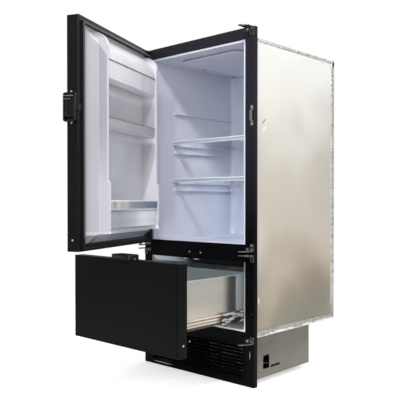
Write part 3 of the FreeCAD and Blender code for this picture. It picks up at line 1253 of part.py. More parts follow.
# Condenser: finned tube block between two end plates
cond_y = FACE_Y + COND_FRONT
cond_parts = []
for end_x in (COND_X0, COND_X1 - COND_END):
    cond_parts.append(block(end_x, end_x + COND_END, cond_y, cond_y + COND_THICK,
                            TRAY_WALL, COND_TOP))
cond_parts.append(block(COND_X0 - COND_FOOT, COND_X0 + COND_END, cond_y, cond_y + COND_THICK,
                        TRAY_WALL, TRAY_WALL + COND_END))
cond_parts.append(block(COND_X1 - COND_END, COND_X1 + COND_FOOT, cond_y, cond_y + COND_THICK,
                        TRAY_WALL, TRAY_WALL + COND_END))
row_pitch = (COND_TOP - COND_BOTTOM) / COND_ROWS
for row in range(COND_ROWS):
    tube_z = COND_BOTTOM + row_pitch / 2 + row_pitch * row
    for tube_share in (COND_TUBE_SHARE, 1 - COND_TUBE_SHARE):
        tube_y = cond_y + COND_THICK * tube_share
        cond_parts.append(rod(COND_TUBE_R, V(COND_X0, tube_y, tube_z), V(COND_X1, tube_y, tube_z)))
fin_x = COND_X0 + COND_FIN_MARGIN
while fin_x < COND_X1 - COND_FIN_MARGIN:
    cond_parts.append(block(fin_x, fin_x + COND_FIN, cond_y, cond_y + COND_THICK,
                            COND_BOTTOM, COND_TOP))
    fin_x = fin_x + COND_FIN_PITCH
condenser = fuse(cond_parts)

# Fan: square frame with spokes, and a bladed rotor on its axle
fan_y0 = FACE_Y + FAN_FRONT
fan_y1 = fan_y0 + FAN_THICK
fan_centre_front = V(FAN_X, fan_y0, FAN_Z)
fan_centre_back = V(FAN_X, fan_y1, FAN_Z)
fan_frame = block(FAN_X - FAN_HALF, FAN_X + FAN_HALF, fan_y0, fan_y1, FAN_Z - FAN_HALF, FAN_Z + FAN_HALF)
fan_frame = fan_frame.cut(rod(FAN_BORE_R, fan_centre_front, fan_centre_back))
spoke_y0 = fan_y1 - FAN_BACK_WALL
fan_frame = fan_frame.fuse(rod(FAN_CORE_R, V(FAN_X, spoke_y0, FAN_Z), fan_centre_back))
spoke_end = FAN_HALF - FAN_SPOKE
spoke_half = FAN_SPOKE / 2
level_spoke = block(FAN_X - spoke_end, FAN_X + spoke_end, spoke_y0, fan_y1,
                    FAN_Z - spoke_half, FAN_Z + spoke_half)
upright_spoke = block(FAN_X - spoke_half, FAN_X + spoke_half, spoke_y0, fan_y1,
                      FAN_Z - spoke_end, FAN_Z + spoke_end)
axle_hole = rod(FAN_AXLE_R + RUN_FIT, V(FAN_X, spoke_y0, FAN_Z), fan_centre_back)
fan_frame = fan_frame.multiFuse([level_spoke, upright_spoke]).cut(axle_hole).removeSplitter()
rotor_y0 = fan_y0 + COLLAR_GAP + FAN_SPOKE
rotor_y1 = spoke_y0 - KNOB_GAP
rotor_parts = [rod(FAN_HUB_R, V(FAN_X, rotor_y0, FAN_Z), V(FAN_X, rotor_y1, FAN_Z)),
               rod(FAN_AXLE_R, V(FAN_X, rotor_y0, FAN_Z), V(FAN_X, fan_y1, FAN_Z))]
blade_root = FAN_HUB_R - FAN_BLADE_THICK
for index in range(FAN_BLADES):
    sweep = (rotor_y1 - rotor_y0) / 2
    vane = polygon([
        V(FAN_X + blade_root, rotor_y0, FAN_Z - sweep),
        V(FAN_X + blade_root, rotor_y0, FAN_Z - sweep + FAN_BLADE_THICK),
        V(FAN_X + blade_root, rotor_y1, FAN_Z + sweep),
        V(FAN_X + blade_root, rotor_y1, FAN_Z + sweep - FAN_BLADE_THICK),
    ]).extrude(V(FAN_HALF, 0, 0))
    vane = vane.common(rod(FAN_BLADE_TIP, V(FAN_X, rotor_y0, FAN_Z), V(FAN_X, rotor_y1, FAN_Z)))
    vane.rotate(V(FAN_X, 0, FAN_Z), BACK, index * FULL_TURN / FAN_BLADES)
    rotor_parts.append(vane)
fan_rotor = fuse(rotor_parts)

# Electronic control unit for the compressor
unit_y = FACE_Y + UNIT_FRONT
unit = block(UNIT_X0, UNIT_X1, unit_y, unit_y + UNIT_LONG, TRAY_WALL, TRAY_WALL + UNIT_TALL)
unit = unit.makeFillet(UNIT_ROUND, unit.Edges)

# Pipes: suction line up to the freezer plate, link up to the ceiling plate, and liquid line
rear_y = FACE_Y + ROUTE_BACK
cold_face = cold_back
suction = bent_tube(SUCTION_R, SUCTION_BEND, [
    V(ROUTE_X, FACE_Y + COMP_DEPTH, SUCTION_STUB_Z),
    V(ROUTE_X, rear_y, SUCTION_STUB_Z),
    V(ROUTE_X, rear_y, ROUTE_TURN),
    V(ROUTE_X, cold_face, ROUTE_TURN),
])
suction = suction.cut(compressor)
link_end = V(LINK_X, FACE_Y + PLATE_BACK - PLATE_ROUND, plate_low + PLATE_THICK + LINK_R)
link_pipe = bent_tube(LINK_R, LINK_BEND, [
    V(LINK_X, cold_face, ROUTE_TURN),
    V(LINK_X, rear_y, ROUTE_TURN),
    V(LINK_X, rear_y, link_end.z),
    link_end,
])
cond_mid_y = cond_y + COND_THICK / 2
liquid = bent_tube(LIQUID_R, LIQUID_BEND, [
    V(COND_X0, cond_mid_y, LIQUID_LOW),
    V(LIQUID_X, cond_mid_y, LIQUID_LOW),
    V(LIQUID_X, rear_y, LIQUID_LOW),
    V(LIQUID_X, rear_y, ROUTE_TURN),
    V(LIQUID_X, cold_face, ROUTE_TURN),
])
discharge = bent_tube(SUCTION_R, LINK_BEND, [
    V(COMP_X, comp_y - COMP_HALF_Y + COMP_SEAM_PROUD, COMP_SEAM - COMP_ROUND / 2),
    V(COMP_X, cond_y + COND_THICK / 4, COMP_SEAM - COMP_ROUND / 2),
    V(COND_X0, cond_y + COND_THICK / 4, COMP_SEAM - COMP_ROUND / 2),
])
discharge = discharge.cut(compressor)

# Wiring from the control unit to the plug connectors behind the grille
wire_y = FACE_Y + WIRE_FRONT
connectors = []
for index in range(CONNECTOR_COUNT):
    x0 = CONNECTOR_X0 + CONNECTOR_PITCH * index
    connectors.append(block(x0, x0 + CONNECTOR_LONG, FACE_Y + CONNECTOR_FRONT,
                            FACE_Y + CONNECTOR_FRONT + CONNECTOR_DEEP,
                            CONNECTOR_BOTTOM, CONNECTOR_BOTTOM + CONNECTOR_TALL))
first_plug_x = CONNECTOR_X0 + CONNECTOR_LONG / 2
second_plug_x = first_plug_x + CONNECTOR_PITCH
plug_back = FACE_Y + CONNECTOR_FRONT + CONNECTOR_DEEP
unit_mid_z = TRAY_WALL + UNIT_TALL * UNIT_PLUG_SHARE
red_wire = bent_tube(WIRE_R, RED_BEND, [
    V(second_plug_x, plug_back, WIRE_HIGH),
    V(second_plug_x, plug_back + CONNECTOR_PITCH, WIRE_HIGH),
    V(WIRE_SIDE_X, FACE_Y + CUT_BACK, WIRE_HIGH - CONNECTOR_THICK),
    V(WIRE_SIDE_X, FACE_Y + WIRE_BACK, WIRE_HIGH - CONNECTOR_THICK),
    V(second_plug_x, unit_y + UNIT_LONG / 2, unit_mid_z),
    V(UNIT_X1, unit_y + UNIT_LONG / 2, unit_mid_z),
])
black_wire = bent_tube(WIRE_R, BLACK_BEND, [
    V(first_plug_x, plug_back, WIRE_HIGH),
    V(first_plug_x, FACE_Y + WIRE_BACK, WIRE_HIGH),
    V(first_plug_x, unit_y + UNIT_LONG / 4, unit_mid_z),
    V(UNIT_X1, unit_y + UNIT_LONG / 4, unit_mid_z),
])

# Holes through the machine box's back and through the foam for the pipes
pipe_cutters = Part.makeCompound([suction, link_pipe, liquid])
machine = machine.cut(rod(PIPE_HOLE_R, V(ROUTE_X, machine_back - PIPE_HOLE_R, SUCTION_STUB_Z),
                          V(ROUTE_X, machine_back + PIPE_HOLE_R, SUCTION_STUB_Z)))
machine = machine.cut(rod(PIPE_HOLE_R, V(LIQUID_X, machine_back - PIPE_HOLE_R, LIQUID_LOW),
                          V(LIQUID_X, machine_back + PIPE_HOLE_R, LIQUID_LOW)))
wrap = wrap.cut(pipe_cutters)
freezer_liner = freezer_liner.cut(pipe_cutters)
fridge_liner = fridge_liner.cut(pipe_cutters)

# Foam fills what is left between the outer metal and the liners
foam = shell_core.cut(fridge_envelope).cut(freezer_envelope).cut(pipe_cutters)
all_frame_holes = Part.makeCompound([drill, striker_drill, frame_drill])
frame = frame.cut(all_frame_holes)
foam = foam.cut(all_frame_holes)
wrap = wrap.cut(all_frame_holes)
fridge_liner = fridge_liner.cut(all_frame_holes)
freezer_liner = freezer_liner.cut(all_frame_holes)

# Write every node
save("face_frame", frame)
save("shell_wrap", wrap)
save("shell_back", back_panel)
save("edge_tape", tape)
save("cabinet_foam", foam)
save("fridge_liner", fridge_liner)
save("freezer_liner", freezer_liner)
save("ceiling_plate", ceiling_plate)
save("ceiling_fixings", Part.makeCompound(posts + plugs))
save("freezer_plate", cold_plate)
save("shelf_glass", Part.makeCompound(glasses))
save("shelf_trims", Part.makeCompound(trims))
save("control_housing", control)
save("lamp_lens", lens)
save("thermostat_knob", knob)
brackets = []
for right_bracket in (bracket_top, bracket_mid_high, bracket_mid_low, bracket_low):
    brackets.append(right_bracket.cut(drill))
    brackets.append(mirrored(right_bracket).cut(drill))
save("hinge_brackets", Part.makeCompound(brackets))
save("hinge_pins", Part.makeCompound([pin_low, pin_top]))
save("door_striker", door_striker)
save("drawer_striker", drawer_striker)
all_screws = bracket_screws + striker_screws + frame_screws + [grille_screw]
save("cabinet_screws", Part.makeCompound(all_screws))
save("grille", grille)
save("machine_box", machine)
save("base_tray", tray)
save("compressor", compressor)
save("compressor_grommets", Part.makeCompound(grommets))
save("condenser", condenser)
save("fan_frame", fan_frame)
save("fan_rotor", fan_rotor)
save("control_unit", unit)
save("suction_pipe", suction)
save("link_pipe", link_pipe)
save("liquid_pipe", liquid)
save("discharge_pipe", discharge)
save("wire_connectors", Part.makeCompound(connectors))
save("red_wire", red_wire)
save("black_wire", black_wire)
save("slide_outer", both_sides(slide_outer))
save("slide_mid", both_sides(slide_mid))
save("slide_inner", both_sides(slide_inner))
save("door_shell", opened(door_shell))
save("door_foam", opened(door_foam))
save("door_liner", opened(door_liner))
save("door_seal", opened(door_seal))
save("door_bushes", opened(bushes))
for bin_name, bin_shape in bins.items():
    save("door_bin_" + bin_name, opened(bin_shape))
save("bottle_bar", opened(bottle_bar))
save("door_latch_housing", opened(door_housing))
save("door_latch_lever", opened(door_lever))
save("door_screws", opened(Part.makeCompound(door_screws)))
save("drawer_front", drawer_shell)
save("drawer_foam", drawer_foam)
save("drawer_panel", drawer_panel)
save("drawer_seal", drawer_seal)
save("drawer_box", drawer_box)
save("drawer_latch_housing", drawer_housing)
save("drawer_latch_lever", drawer_lever)
save("drawer_screws", Part.makeCompound(drawer_screws))
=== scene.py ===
"""Tall flanged fridge freezer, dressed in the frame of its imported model."""
from __future__ import annotations

import logging
import math
from dataclasses import dataclass
from enum import Enum
from typing import Any, Callable, ClassVar, Sequence

import bmesh
import bpy
from mathutils import Matrix, Vector, noise


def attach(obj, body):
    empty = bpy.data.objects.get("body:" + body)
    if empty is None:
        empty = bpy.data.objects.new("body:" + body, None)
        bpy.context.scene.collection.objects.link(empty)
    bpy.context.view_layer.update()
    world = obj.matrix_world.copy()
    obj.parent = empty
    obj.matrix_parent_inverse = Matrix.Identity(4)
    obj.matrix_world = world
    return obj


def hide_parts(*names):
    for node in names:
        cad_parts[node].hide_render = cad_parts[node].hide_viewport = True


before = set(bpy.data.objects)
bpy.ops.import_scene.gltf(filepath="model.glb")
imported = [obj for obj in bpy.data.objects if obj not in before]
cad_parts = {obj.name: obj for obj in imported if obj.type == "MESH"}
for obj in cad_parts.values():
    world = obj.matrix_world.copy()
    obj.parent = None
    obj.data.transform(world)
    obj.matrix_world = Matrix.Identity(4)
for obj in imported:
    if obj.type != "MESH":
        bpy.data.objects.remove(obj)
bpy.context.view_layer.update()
LOG = logging.getLogger("fridge_freezer")

Triple = tuple[float, float, float]
Colour = Triple
Pair = tuple[float, float]
EVEN = (1.0, 1.0, 1.0)
DUST_COLOUR = (0.42, 0.40, 0.37)

FACE = -0.2
DOOR_BACK = FACE - 0.008
PIVOT = Vector((-0.255, FACE - 0.047, 0.0))
DOOR_TURN = math.radians(-67.0)
DOOR_SWING = Matrix.Translation(PIVOT) @ Matrix.Rotation(DOOR_TURN, 4, "Z") @ Matrix.Translation(-PIVOT)
DRAWER_OUT = 0.31
QUARTER = math.radians(90)
# The lean of the light's edge on the door's cheek, and the bow of the cheeks' upper edge.
CHEEK_SLANT = 0.292
BROW_BOW = (0.9, 5.0)


class Body(Enum):
    """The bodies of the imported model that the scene's own pieces move with."""

    CABINET = "cabinet"
    DOOR = "door"
    DOOR_LATCH = "door_latch"
    DRAWER = "drawer"
    DRAWER_LATCH = "drawer_latch"


class SocketKind(Enum):
    """Kinds of socket on a shared effect."""

    VALUE = "NodeSocketFloat"
    COLOUR = "NodeSocketColor"
    VECTOR = "NodeSocketVector"


class Axis(Enum):
    """What a band is measured along: an axis, the way from the middle, or a sloped or bowed line."""

    X = "x"
    Y = "y"
    Z = "z"
    ACROSS = "across"
    SLANT = "slant"
    ARCH = "arch"


X, Y, Z, ACROSS, SLANT, ARCH = Axis


class NodeSheet:
    """Short ways to add nodes to one tree and join them."""

    def __init__(self, tree: bpy.types.NodeTree) -> None:
        """Keeps the tree that the nodes go into."""
        self.tree = tree

    def add(self, kind: str, inputs: dict[Any, Any] | None = None, **settings: Any) -> bpy.types.Node:
        """Adds a shader node.

        Args:
            kind: the node's type without its ShaderNode prefix.
            inputs: a value or a socket for each named or numbered input.
            settings: the node's own properties.

        Returns:
            The new node.
        """
        node = self.tree.nodes.new("ShaderNode" + kind)
        for name, value in settings.items():
            setattr(node, name, value)
        for key, value in (inputs or {}).items():
            self.feed(node.inputs[key], value)
        return node

    def feed(self, socket: bpy.types.NodeSocket, value: Any) -> None:
        """Sets an input, or links it.

        Args:
            socket: the input.
            value: a number, colour, vector or output socket.
        """
        if isinstance(value, bpy.types.NodeSocket):
            self.tree.links.new(value, socket)
        else:
            socket.default_value = (*value, 1.0) if socket.type == "RGBA" else value

    def place(self, stretch: Any = None) -> bpy.types.NodeSocket:
        """Gives the object coordinates.

        Args:
            stretch: what they are multiplied by along each axis, or None for nothing.

        Returns:
            The coordinates' socket.
        """
        spot = self.add("TexCoord").outputs["Object"]
        if stretch is None:
            return spot
        return self.add("Mapping", {"Vector": spot, "Scale": stretch}).outputs[0]

    def maths(self, operation: str, first: Any, second: Any = 0.0) -> bpy.types.NodeSocket:
        """Returns the outcome of a sum on two values."""
        return self.add("Math", {0: first, 1: second}, operation=operation).outputs[0]

    def product(self, first: Any, *others: Any) -> Any:
        """Multiplies values.

        Args:
            first: the first value.
            others: the other ones, in order.

        Returns:
            The product, or the first value itself where it is alone.
        """
        for value in others:
            first = self.maths("MULTIPLY", first, value)
        return first

    def ramp(self, value: Any, low: Any, high: Any, start: float = 0.0,
             end: float = 1.0) -> bpy.types.NodeSocket:
        """Turns a value smoothly from one level into another.

        Args:
            value: the value that is read.
            low: where the turn begins.
            high: where it is done.
            start: the level before it.
            end: the level after it.

        Returns:
            The level's socket.
        """
        return self.add("MapRange", {"Value": value, "From Min": low, "From Max": high, "To Min": start,
                                     "To Max": end}, interpolation_type="SMOOTHSTEP").outputs["Result"]

    def blend(self, share: Any, first: Any, second: Any, way: str = "MIX") -> bpy.types.NodeSocket:
        """Returns two colours mixed, given the second one's share and the way of mixing."""
        return self.add("Mix", {0: share, 6: first, 7: second}, data_type="RGBA", blend_type=way).outputs[2]

    def cloud(self, scale: Any, detail: float, stretch: Any = None,
              roughness: float = 0.5) -> bpy.types.NodeSocket:
        """Returns the level of a soft noise of a scale, detail, stretch and roughness."""
        return self.add("TexNoise", {"Vector": self.place(stretch), "Scale": scale, "Detail": detail,
                                     "Roughness": roughness}).outputs[0]

    def axes(self, place: Any) -> tuple[bpy.types.NodeSocket, ...]:
        """Returns the x, y and z sockets of a place."""
        return tuple(self.add("SeparateXYZ", {0: place}).outputs)

    def measures(self, shut: bool) -> dict[Axis, bpy.types.NodeSocket]:
        """Measures a point along the axes.

        Args:
            shut: whether it is a point of the door, measured where it is when the door is shut.

        Returns:
            The value for each axis.
        """
        place = self.place()
        if shut:
            place = self.add("Mapping", {"Vector": place, "Location": -PIVOT}).outputs[0]
            place = self.add("Mapping", {"Vector": place, "Rotation": (0.0, 0.0, -DOOR_TURN)}).outputs[0]
            place = self.add("Mapping", {"Vector": place, "Location": PIVOT}).outputs[0]
        along, depth, height = self.axes(place)
        found = {X: along, Y: depth, Z: height, ACROSS: self.maths("ABSOLUTE", along)}
        if shut:
            out = self.maths("SUBTRACT", depth, DOOR_BACK)
            found[SLANT] = self.maths("SUBTRACT", out, self.product(height, CHEEK_SLANT))
            arc = self.maths("ADD", self.product(out, BROW_BOW[0]), self.product(out, out, BROW_BOW[1]))
            found[ARCH] = self.maths("ADD", height, arc)
        return found

    def effect(self, effect: Effect, **inputs: Any) -> bpy.types.Node:
        """Places a shared effect.

        Args:
            effect: the effect.
            inputs: its inputs by name.

        Returns:
            The group's node.
        """
        node = self.tree.nodes.new("ShaderNodeGroup")
        node.node_tree = effect.group()
        for name, value in inputs.items():
            self.feed(node.inputs[name], value)
        return node


@dataclass(frozen=True)
class Port:
    """One named input or output of a shared effect."""

    name: str
    kind: SocketKind = SocketKind.VALUE
    value: Any = None


@dataclass(frozen=True)
class Effect:
    """An effect that finishes share: its name, inputs, outputs, and the function that adds its nodes."""

    name: str
    ports: tuple[Port, ...]
    results: tuple[Port, ...]
    wire: Callable[[NodeSheet, Any], dict[str, Any]]

    def group(self) -> bpy.types.NodeTree:
        """Builds the effect once, and hands out the same group afterwards.

        Returns:
            The node group.
        """
        if self.name in bpy.data.node_groups:
            return bpy.data.node_groups[self.name]
        tree = bpy.data.node_groups.new(self.name, "ShaderNodeTree")
        for way, ports in (("INPUT", self.ports), ("OUTPUT", self.results)):
            for port in ports:
                socket = tree.interface.new_socket(name=port.name, in_out=way, socket_type=port.kind.value)
                if port.value is not None:
                    socket.default_value = port.value
        sheet = NodeSheet(tree)
        source = tree.nodes.new("NodeGroupInput")
        sink = tree.nodes.new("NodeGroupOutput")
        for key, value in self.wire(sheet, source.outputs).items():
            sheet.feed(sink.inputs[key], value)
        return tree


def wire_grain(sheet: NodeSheet, ask: Any) -> dict[str, Any]:
    """Adds a fine surface grain.

    Args:
        sheet: the group's nodes.
        ask: the group's inputs.

    Returns:
        The grain's outputs.
    """
    speck = sheet.cloud(ask["Scale"], 3.0, ask["Stretch"], 0.55)
    bump = sheet.add("Bump", {"Strength": 1.0, "Distance": ask["Depth"], "Height": speck})
    return {"Mask": speck, "Normal": bump.outputs[0]}


def wire_blotch(sheet: NodeSheet, ask: Any) -> dict[str, Any]:
    """Adds soft, wide changes of tone.

    Args:
        sheet: the group's nodes.
        ask: the group's inputs.

    Returns:
        The blotches' outputs.
    """
    mask = sheet.ramp(sheet.cloud(ask["Scale"], 2.0, ask["Stretch"]), 0.34, 0.66)
    return {"Mask": mask, "Color": sheet.blend(sheet.product(mask, ask["Amount"]), ask["Base"], ask["Tint"])}


def wire_wear(sheet: NodeSheet, ask: Any) -> dict[str, Any]:
    """Adds rubbed edges, broken up by a fine noise.

    Args:
        sheet: the group's nodes.
        ask: the group's inputs.

    Returns:
        The wear's mask.
    """
    soft = sheet.add("Bevel", {"Radius": ask["Radius"]}, samples=6).outputs[0]
    true = sheet.add("NewGeometry").outputs["True Normal"]
    alike = sheet.add("VectorMath", {0: soft, 1: true}, operation="DOT_PRODUCT").outputs["Value"]
    kept = sheet.ramp(sheet.cloud(120.0, 3.0), ask["Cover"], sheet.maths("ADD", ask["Cover"], 0.14))
    return {"Mask": sheet.product(sheet.ramp(alike, 0.99, 0.86), kept)}


def wire_dust(sheet: NodeSheet, ask: Any) -> dict[str, Any]:
    """Adds thin dust on faces that look up.

    Args:
        sheet: the group's nodes.
        ask: the group's inputs.

    Returns:
        The dust's mask.
    """
    level = sheet.ramp(sheet.axes(sheet.add("NewGeometry").outputs["Normal"])[2], 0.3, 0.95)
    return {"Mask": sheet.product(level, sheet.ramp(sheet.cloud(35.0, 4.0), 0.35, 0.7), ask["Amount"])}


MASK = Port("Mask")
STRETCH = Port("Stretch", SocketKind.VECTOR, EVEN)
GRAIN = Effect("surface_grain", (Port("Scale", value=600.0), Port("Depth", value=0.00003), STRETCH),
               (MASK, Port("Normal", SocketKind.VECTOR)), wire_grain)
BLOTCH = Effect("soft_blotches", (Port("Base", SocketKind.COLOUR), Port("Tint", SocketKind.COLOUR),
                                  Port("Amount", value=0.5), Port("Scale", value=6.0), STRETCH),
                (MASK, Port("Color", SocketKind.COLOUR)), wire_blotch)
WEAR = Effect("rubbed_edges", (Port("Radius", value=0.0008), Port("Cover", value=0.45)), (MASK,), wire_wear)
DUST = Effect("settled_dust", (Port("Amount", value=0.1),), (MASK,), wire_dust)

Axes = dict[Axis, Any]


@dataclass(frozen=True)
class Speck:
    """A mask of soft noise that turns from one level into another."""

    scale: float
    detail: float
    low: float
    high: float
    start: float = 0.0
    end: float = 1.0
    stretch: Triple | None = None

    def build(self, sheet: NodeSheet, axes: Axes) -> Any:
        """Returns the mask's level."""
        cloud = sheet.cloud(self.scale, self.detail, self.stretch)
        return sheet.ramp(cloud, self.low, self.high, self.start, self.end)


@dataclass(frozen=True)
class Cells:
    """A mask of scattered patches with straight sides."""

    scale: float
    low: float
    high: float
    stretch: Triple

    def build(self, sheet: NodeSheet, axes: Axes) -> Any:
        """Returns the mask's level."""
        cells = sheet.add("TexVoronoi", {"Vector": sheet.place(self.stretch), "Scale": self.scale})
        return sheet.ramp(sheet.axes(cells.outputs["Color"])[0], self.low, self.high)


@dataclass(frozen=True)
class Spot:
    """A soft round mark: its centre, half its sizes, its turn, and the share of its size where it fades."""

    centre: Triple
    halves: Triple
    turn: Triple = (0.0, 0.0, 0.0)
    soft: float = 0.5

    def build(self, sheet: NodeSheet, axes: Axes) -> Any:
        """Measures how far a point is from the centre.

        Args:
            sheet: the material's nodes.
            axes: a point's values along the axes.

        Returns:
            The mask's level.
        """
        local = sheet.add("Mapping", {"Vector": sheet.place(), "Location": self.centre, "Rotation": self.turn,
                                      "Scale": self.halves}, vector_type="TEXTURE").outputs[0]
        away = sheet.add("VectorMath", {0: local}, operation="LENGTH").outputs["Value"]
        return sheet.ramp(away, 1.0, self.soft)


@dataclass(frozen=True)
class Band:
    """A mask that turns from one level into another along an axis, on a straight or a ragged line."""

    axis: Axis
    low: float
    high: float
    start: float = 0.0
    end: float = 1.0
    ragged: Speck | None = None

    def build(self, sheet: NodeSheet, axes: Axes) -> Any:
        """Measures a point along the axis.

        Args:
            sheet: the material's nodes.
            axes: a point's values along the axes.

        Returns:
            The mask's level.
        """
        value = axes[self.axis]
        if self.ragged:
            value = sheet.maths("ADD", value, self.ragged.build(sheet, axes))
        return sheet.ramp(value, self.low, self.high, self.start, self.end)


@dataclass(frozen=True)
class AnyOf:
    """The strongest of several groups of masks."""

    groups: Sequence[tuple[Any, ...]]

    def build(self, sheet: NodeSheet, axes: Axes) -> Any:
        """Multiplies the masks of each group and keeps the highest outcome.

        Args:
            sheet: the material's nodes.
            axes: a point's values along the axes.

        Returns:
            The mask's level.
        """
        best: Any = 0.0
        for group in self.groups:
            best = sheet.maths("MAXIMUM", best, sheet.product(*(mask.build(sheet, axes) for mask in group)))
        return best


@dataclass(frozen=True)
class Layer:
    """A colour, or a coat with layers of its own, laid on where all its masks agree."""

    colour: Any
    masks: tuple[Any, ...]
    share: float = 1.0


@dataclass(frozen=True)
class Coat:
    """A colour with layers over it."""

    colour: Any
    layers: tuple[Layer, ...] = ()

    def build(self, sheet: NodeSheet, axes: Axes) -> Any:
        """Lays the layers over one another.

        Args:
            sheet: the material's nodes.
            axes: a point's values along the axes.

        Returns:
            The colour that is seen.
        """
        colour = self.colour
        for layer in self.layers:
            share = sheet.product(*(mask.build(sheet, axes) for mask in layer.masks))
            if layer.share < 1.0:
                share = sheet.product(share, layer.share)
            top = layer.colour.build(sheet, axes) if isinstance(layer.colour, Coat) else layer.colour
            colour = sheet.blend(share, colour, top)
        return colour


@dataclass(frozen=True)
class Stops:
    """Colours that follow one another along an axis, multiplied into a finish by a share."""

    axis: Axis
    low: float
    high: float
    share: float
    stops: tuple[tuple[float, Colour], ...]
    ragged: Speck | None = None

    def build(self, sheet: NodeSheet, axes: Axes, base: Any) -> Any:
        """Lays the colours along the axis.

        Args:
            sheet: the material's nodes.
            axes: a point's values along the axes.
            base: the colour so far.

        Returns:
            The colour that is seen.
        """
        value = axes[self.axis]
        if self.ragged:
            value = sheet.maths("ADD", value, self.ragged.build(sheet, axes))
        reach = sheet.add("MapRange", {"Value": value, "From Min": self.low, "From Max": self.high})
        node = sheet.add("ValToRGB", {0: reach.outputs["Result"]})
        marks = node.color_ramp.elements
        while len(marks) < len(self.stops):
            marks.new(1.0)
        for mark, (place, colour) in zip(marks, self.stops):
            mark.position = place
            mark.color = (*colour, 1.0)
        return sheet.blend(self.share, node.outputs[0], base, "MULTIPLY")


def made_once(name: str, wire: Callable[[NodeSheet], bpy.types.Node]) -> bpy.types.Material:
    """Makes a material once, and hands it out again afterwards.

    Args:
        name: the material's name.
        wire: adds the nodes and returns the shader.

    Returns:
        The material.
    """
    if name in bpy.data.materials:
        return bpy.data.materials[name]
    material = bpy.data.materials.new(name)
    material.use_nodes = True
    material.node_tree.nodes.clear()
    sheet = NodeSheet(material.node_tree)
    sheet.add("OutputMaterial", {"Surface": wire(sheet).outputs[0]})
    return material


@dataclass(frozen=True)
class Finish:
    """A finish: its colour and gloss, how they drift over the surface, the grain and the layers."""

    name: str
    colour: Colour
    tint: Colour
    roughness: float
    metallic: float = 0.0
    amount: float = 0.5
    blotch_scale: float = 9.0
    blotch_stretch: Triple = EVEN
    gloss_drift: float = 0.06
    grain_scale: float = 700.0
    grain_depth: float = 0.00002
    grain_stretch: Triple = EVEN
    wear: float = 0.0
    wear_colour: Colour = (0.62, 0.62, 0.60)
    wear_radius: float = 0.0008
    wear_cover: float = 0.45
    dust: float = 0.0
    coat: float = 0.0
    specular: float = 0.5
    stops: Stops | None = None
    layers: tuple[Layer, ...] = ()
    shut: bool = False

    def relief(self, sheet: NodeSheet, normal: Any) -> Any:
        """Returns the normal, for a finish with a relief of its own to change."""
        return normal

    def build(self) -> bpy.types.Material:
        """Returns the finish's material."""
        return made_once("finish_" + self.name, self.wire)

    def wire(self, sheet: NodeSheet) -> bpy.types.Node:
        """Adds the nodes.

        Args:
            sheet: the material's nodes.

        Returns:
            The shader.
        """
        grain = sheet.effect(GRAIN, Scale=self.grain_scale, Depth=self.grain_depth,
                             Stretch=self.grain_stretch)
        blotch = sheet.effect(BLOTCH, Base=self.colour, Tint=self.tint, Amount=self.amount,
                              Scale=self.blotch_scale, Stretch=self.blotch_stretch)
        colour: Any = blotch.outputs["Color"]
        if self.stops or self.layers:
            axes = sheet.measures(self.shut)
            if self.stops:
                colour = self.stops.build(sheet, axes, colour)
            colour = Coat(colour, self.layers).build(sheet, axes)
        drift = sheet.product(blotch.outputs["Mask"], self.gloss_drift)
        rough = sheet.maths("ADD", sheet.maths("ADD", drift, self.roughness - self.gloss_drift),
                            sheet.product(grain.outputs["Mask"], self.gloss_drift))
        metal: Any = self.metallic
        if self.wear > 0:
            worn = sheet.effect(WEAR, Radius=self.wear_radius, Cover=self.wear_cover).outputs["Mask"]
            worn = sheet.product(worn, self.wear)
            colour = sheet.blend(worn, colour, self.wear_colour)
            metal = sheet.ramp(worn, 0.0, 1.0, self.metallic, 1.0)
        if self.dust > 0:
            dust = sheet.effect(DUST, Amount=self.dust).outputs["Mask"]
            colour = sheet.blend(dust, colour, DUST_COLOUR)
            rough = sheet.maths("ADD", rough, dust)
        return sheet.add("BsdfPrincipled", {
            "Base Color": colour, "Roughness": rough, "Metallic": metal,
            "Normal": self.relief(sheet, grain.outputs["Normal"]), "Coat Weight": self.coat,
            "Specular IOR Level": self.specular})


@dataclass(frozen=True)
class CrinkledFoil(Finish):
    """Foil tape with sharp creases."""

    crease_depth: float = 0.0020

    def relief(self, sheet: NodeSheet, normal: Any) -> Any:
        """Adds creases of two sizes over the fine grain.

        Args:
            sheet: the material's nodes.
            normal: the grain's normal.

        Returns:
            The normal that is used.
        """
        spot = sheet.place(FOIL_STRETCH)
        bent = sheet.add("TexNoise", {"Vector": spot, "Scale": 40.0, "Detail": 3.0}).outputs["Color"]
        bend = sheet.add("VectorMath", {0: bent, "Scale": 0.02}, operation="SCALE").outputs[0]
        moved = sheet.add("VectorMath", {0: spot, 1: bend}).outputs[0]
        crease = sheet.add("TexVoronoi", {"Vector": moved, "Scale": 95.0}, feature="DISTANCE_TO_EDGE")
        height = sheet.maths("ADD", sheet.ramp(crease.outputs[0], 0.0, 0.25),
                             sheet.cloud(150.0, 4.0, FOIL_STRETCH))
        return sheet.add("Bump", {"Strength": 0.9, "Distance": self.crease_depth, "Height": height,
                                  "Normal": normal}).outputs[0]


@dataclass(frozen=True)
class RibbedSide(Finish):
    """Black panel whose upright ends are finely ribbed."""

    beyond: float = 0.2646
    pitch: float = 0.0055
    rib_depth: float = 0.0006

    def relief(self, sheet: NodeSheet, normal: Any) -> Any:
        """Adds upright ribs on the two ends.

        Args:
            sheet: the material's nodes.
            normal: the grain's normal.

        Returns:
            The normal that is used.
        """
        along, depth, _ = sheet.axes(sheet.place())
        end = sheet.ramp(sheet.maths("ABSOLUTE", along), self.beyond, self.beyond + 0.0002)
        wave = sheet.maths("SINE", sheet.product(depth, 2 * math.pi / self.pitch))
        return sheet.add("Bump", {"Strength": 1.0, "Distance": self.rib_depth,
                                  "Height": sheet.product(wave, end), "Normal": normal}).outputs[0]


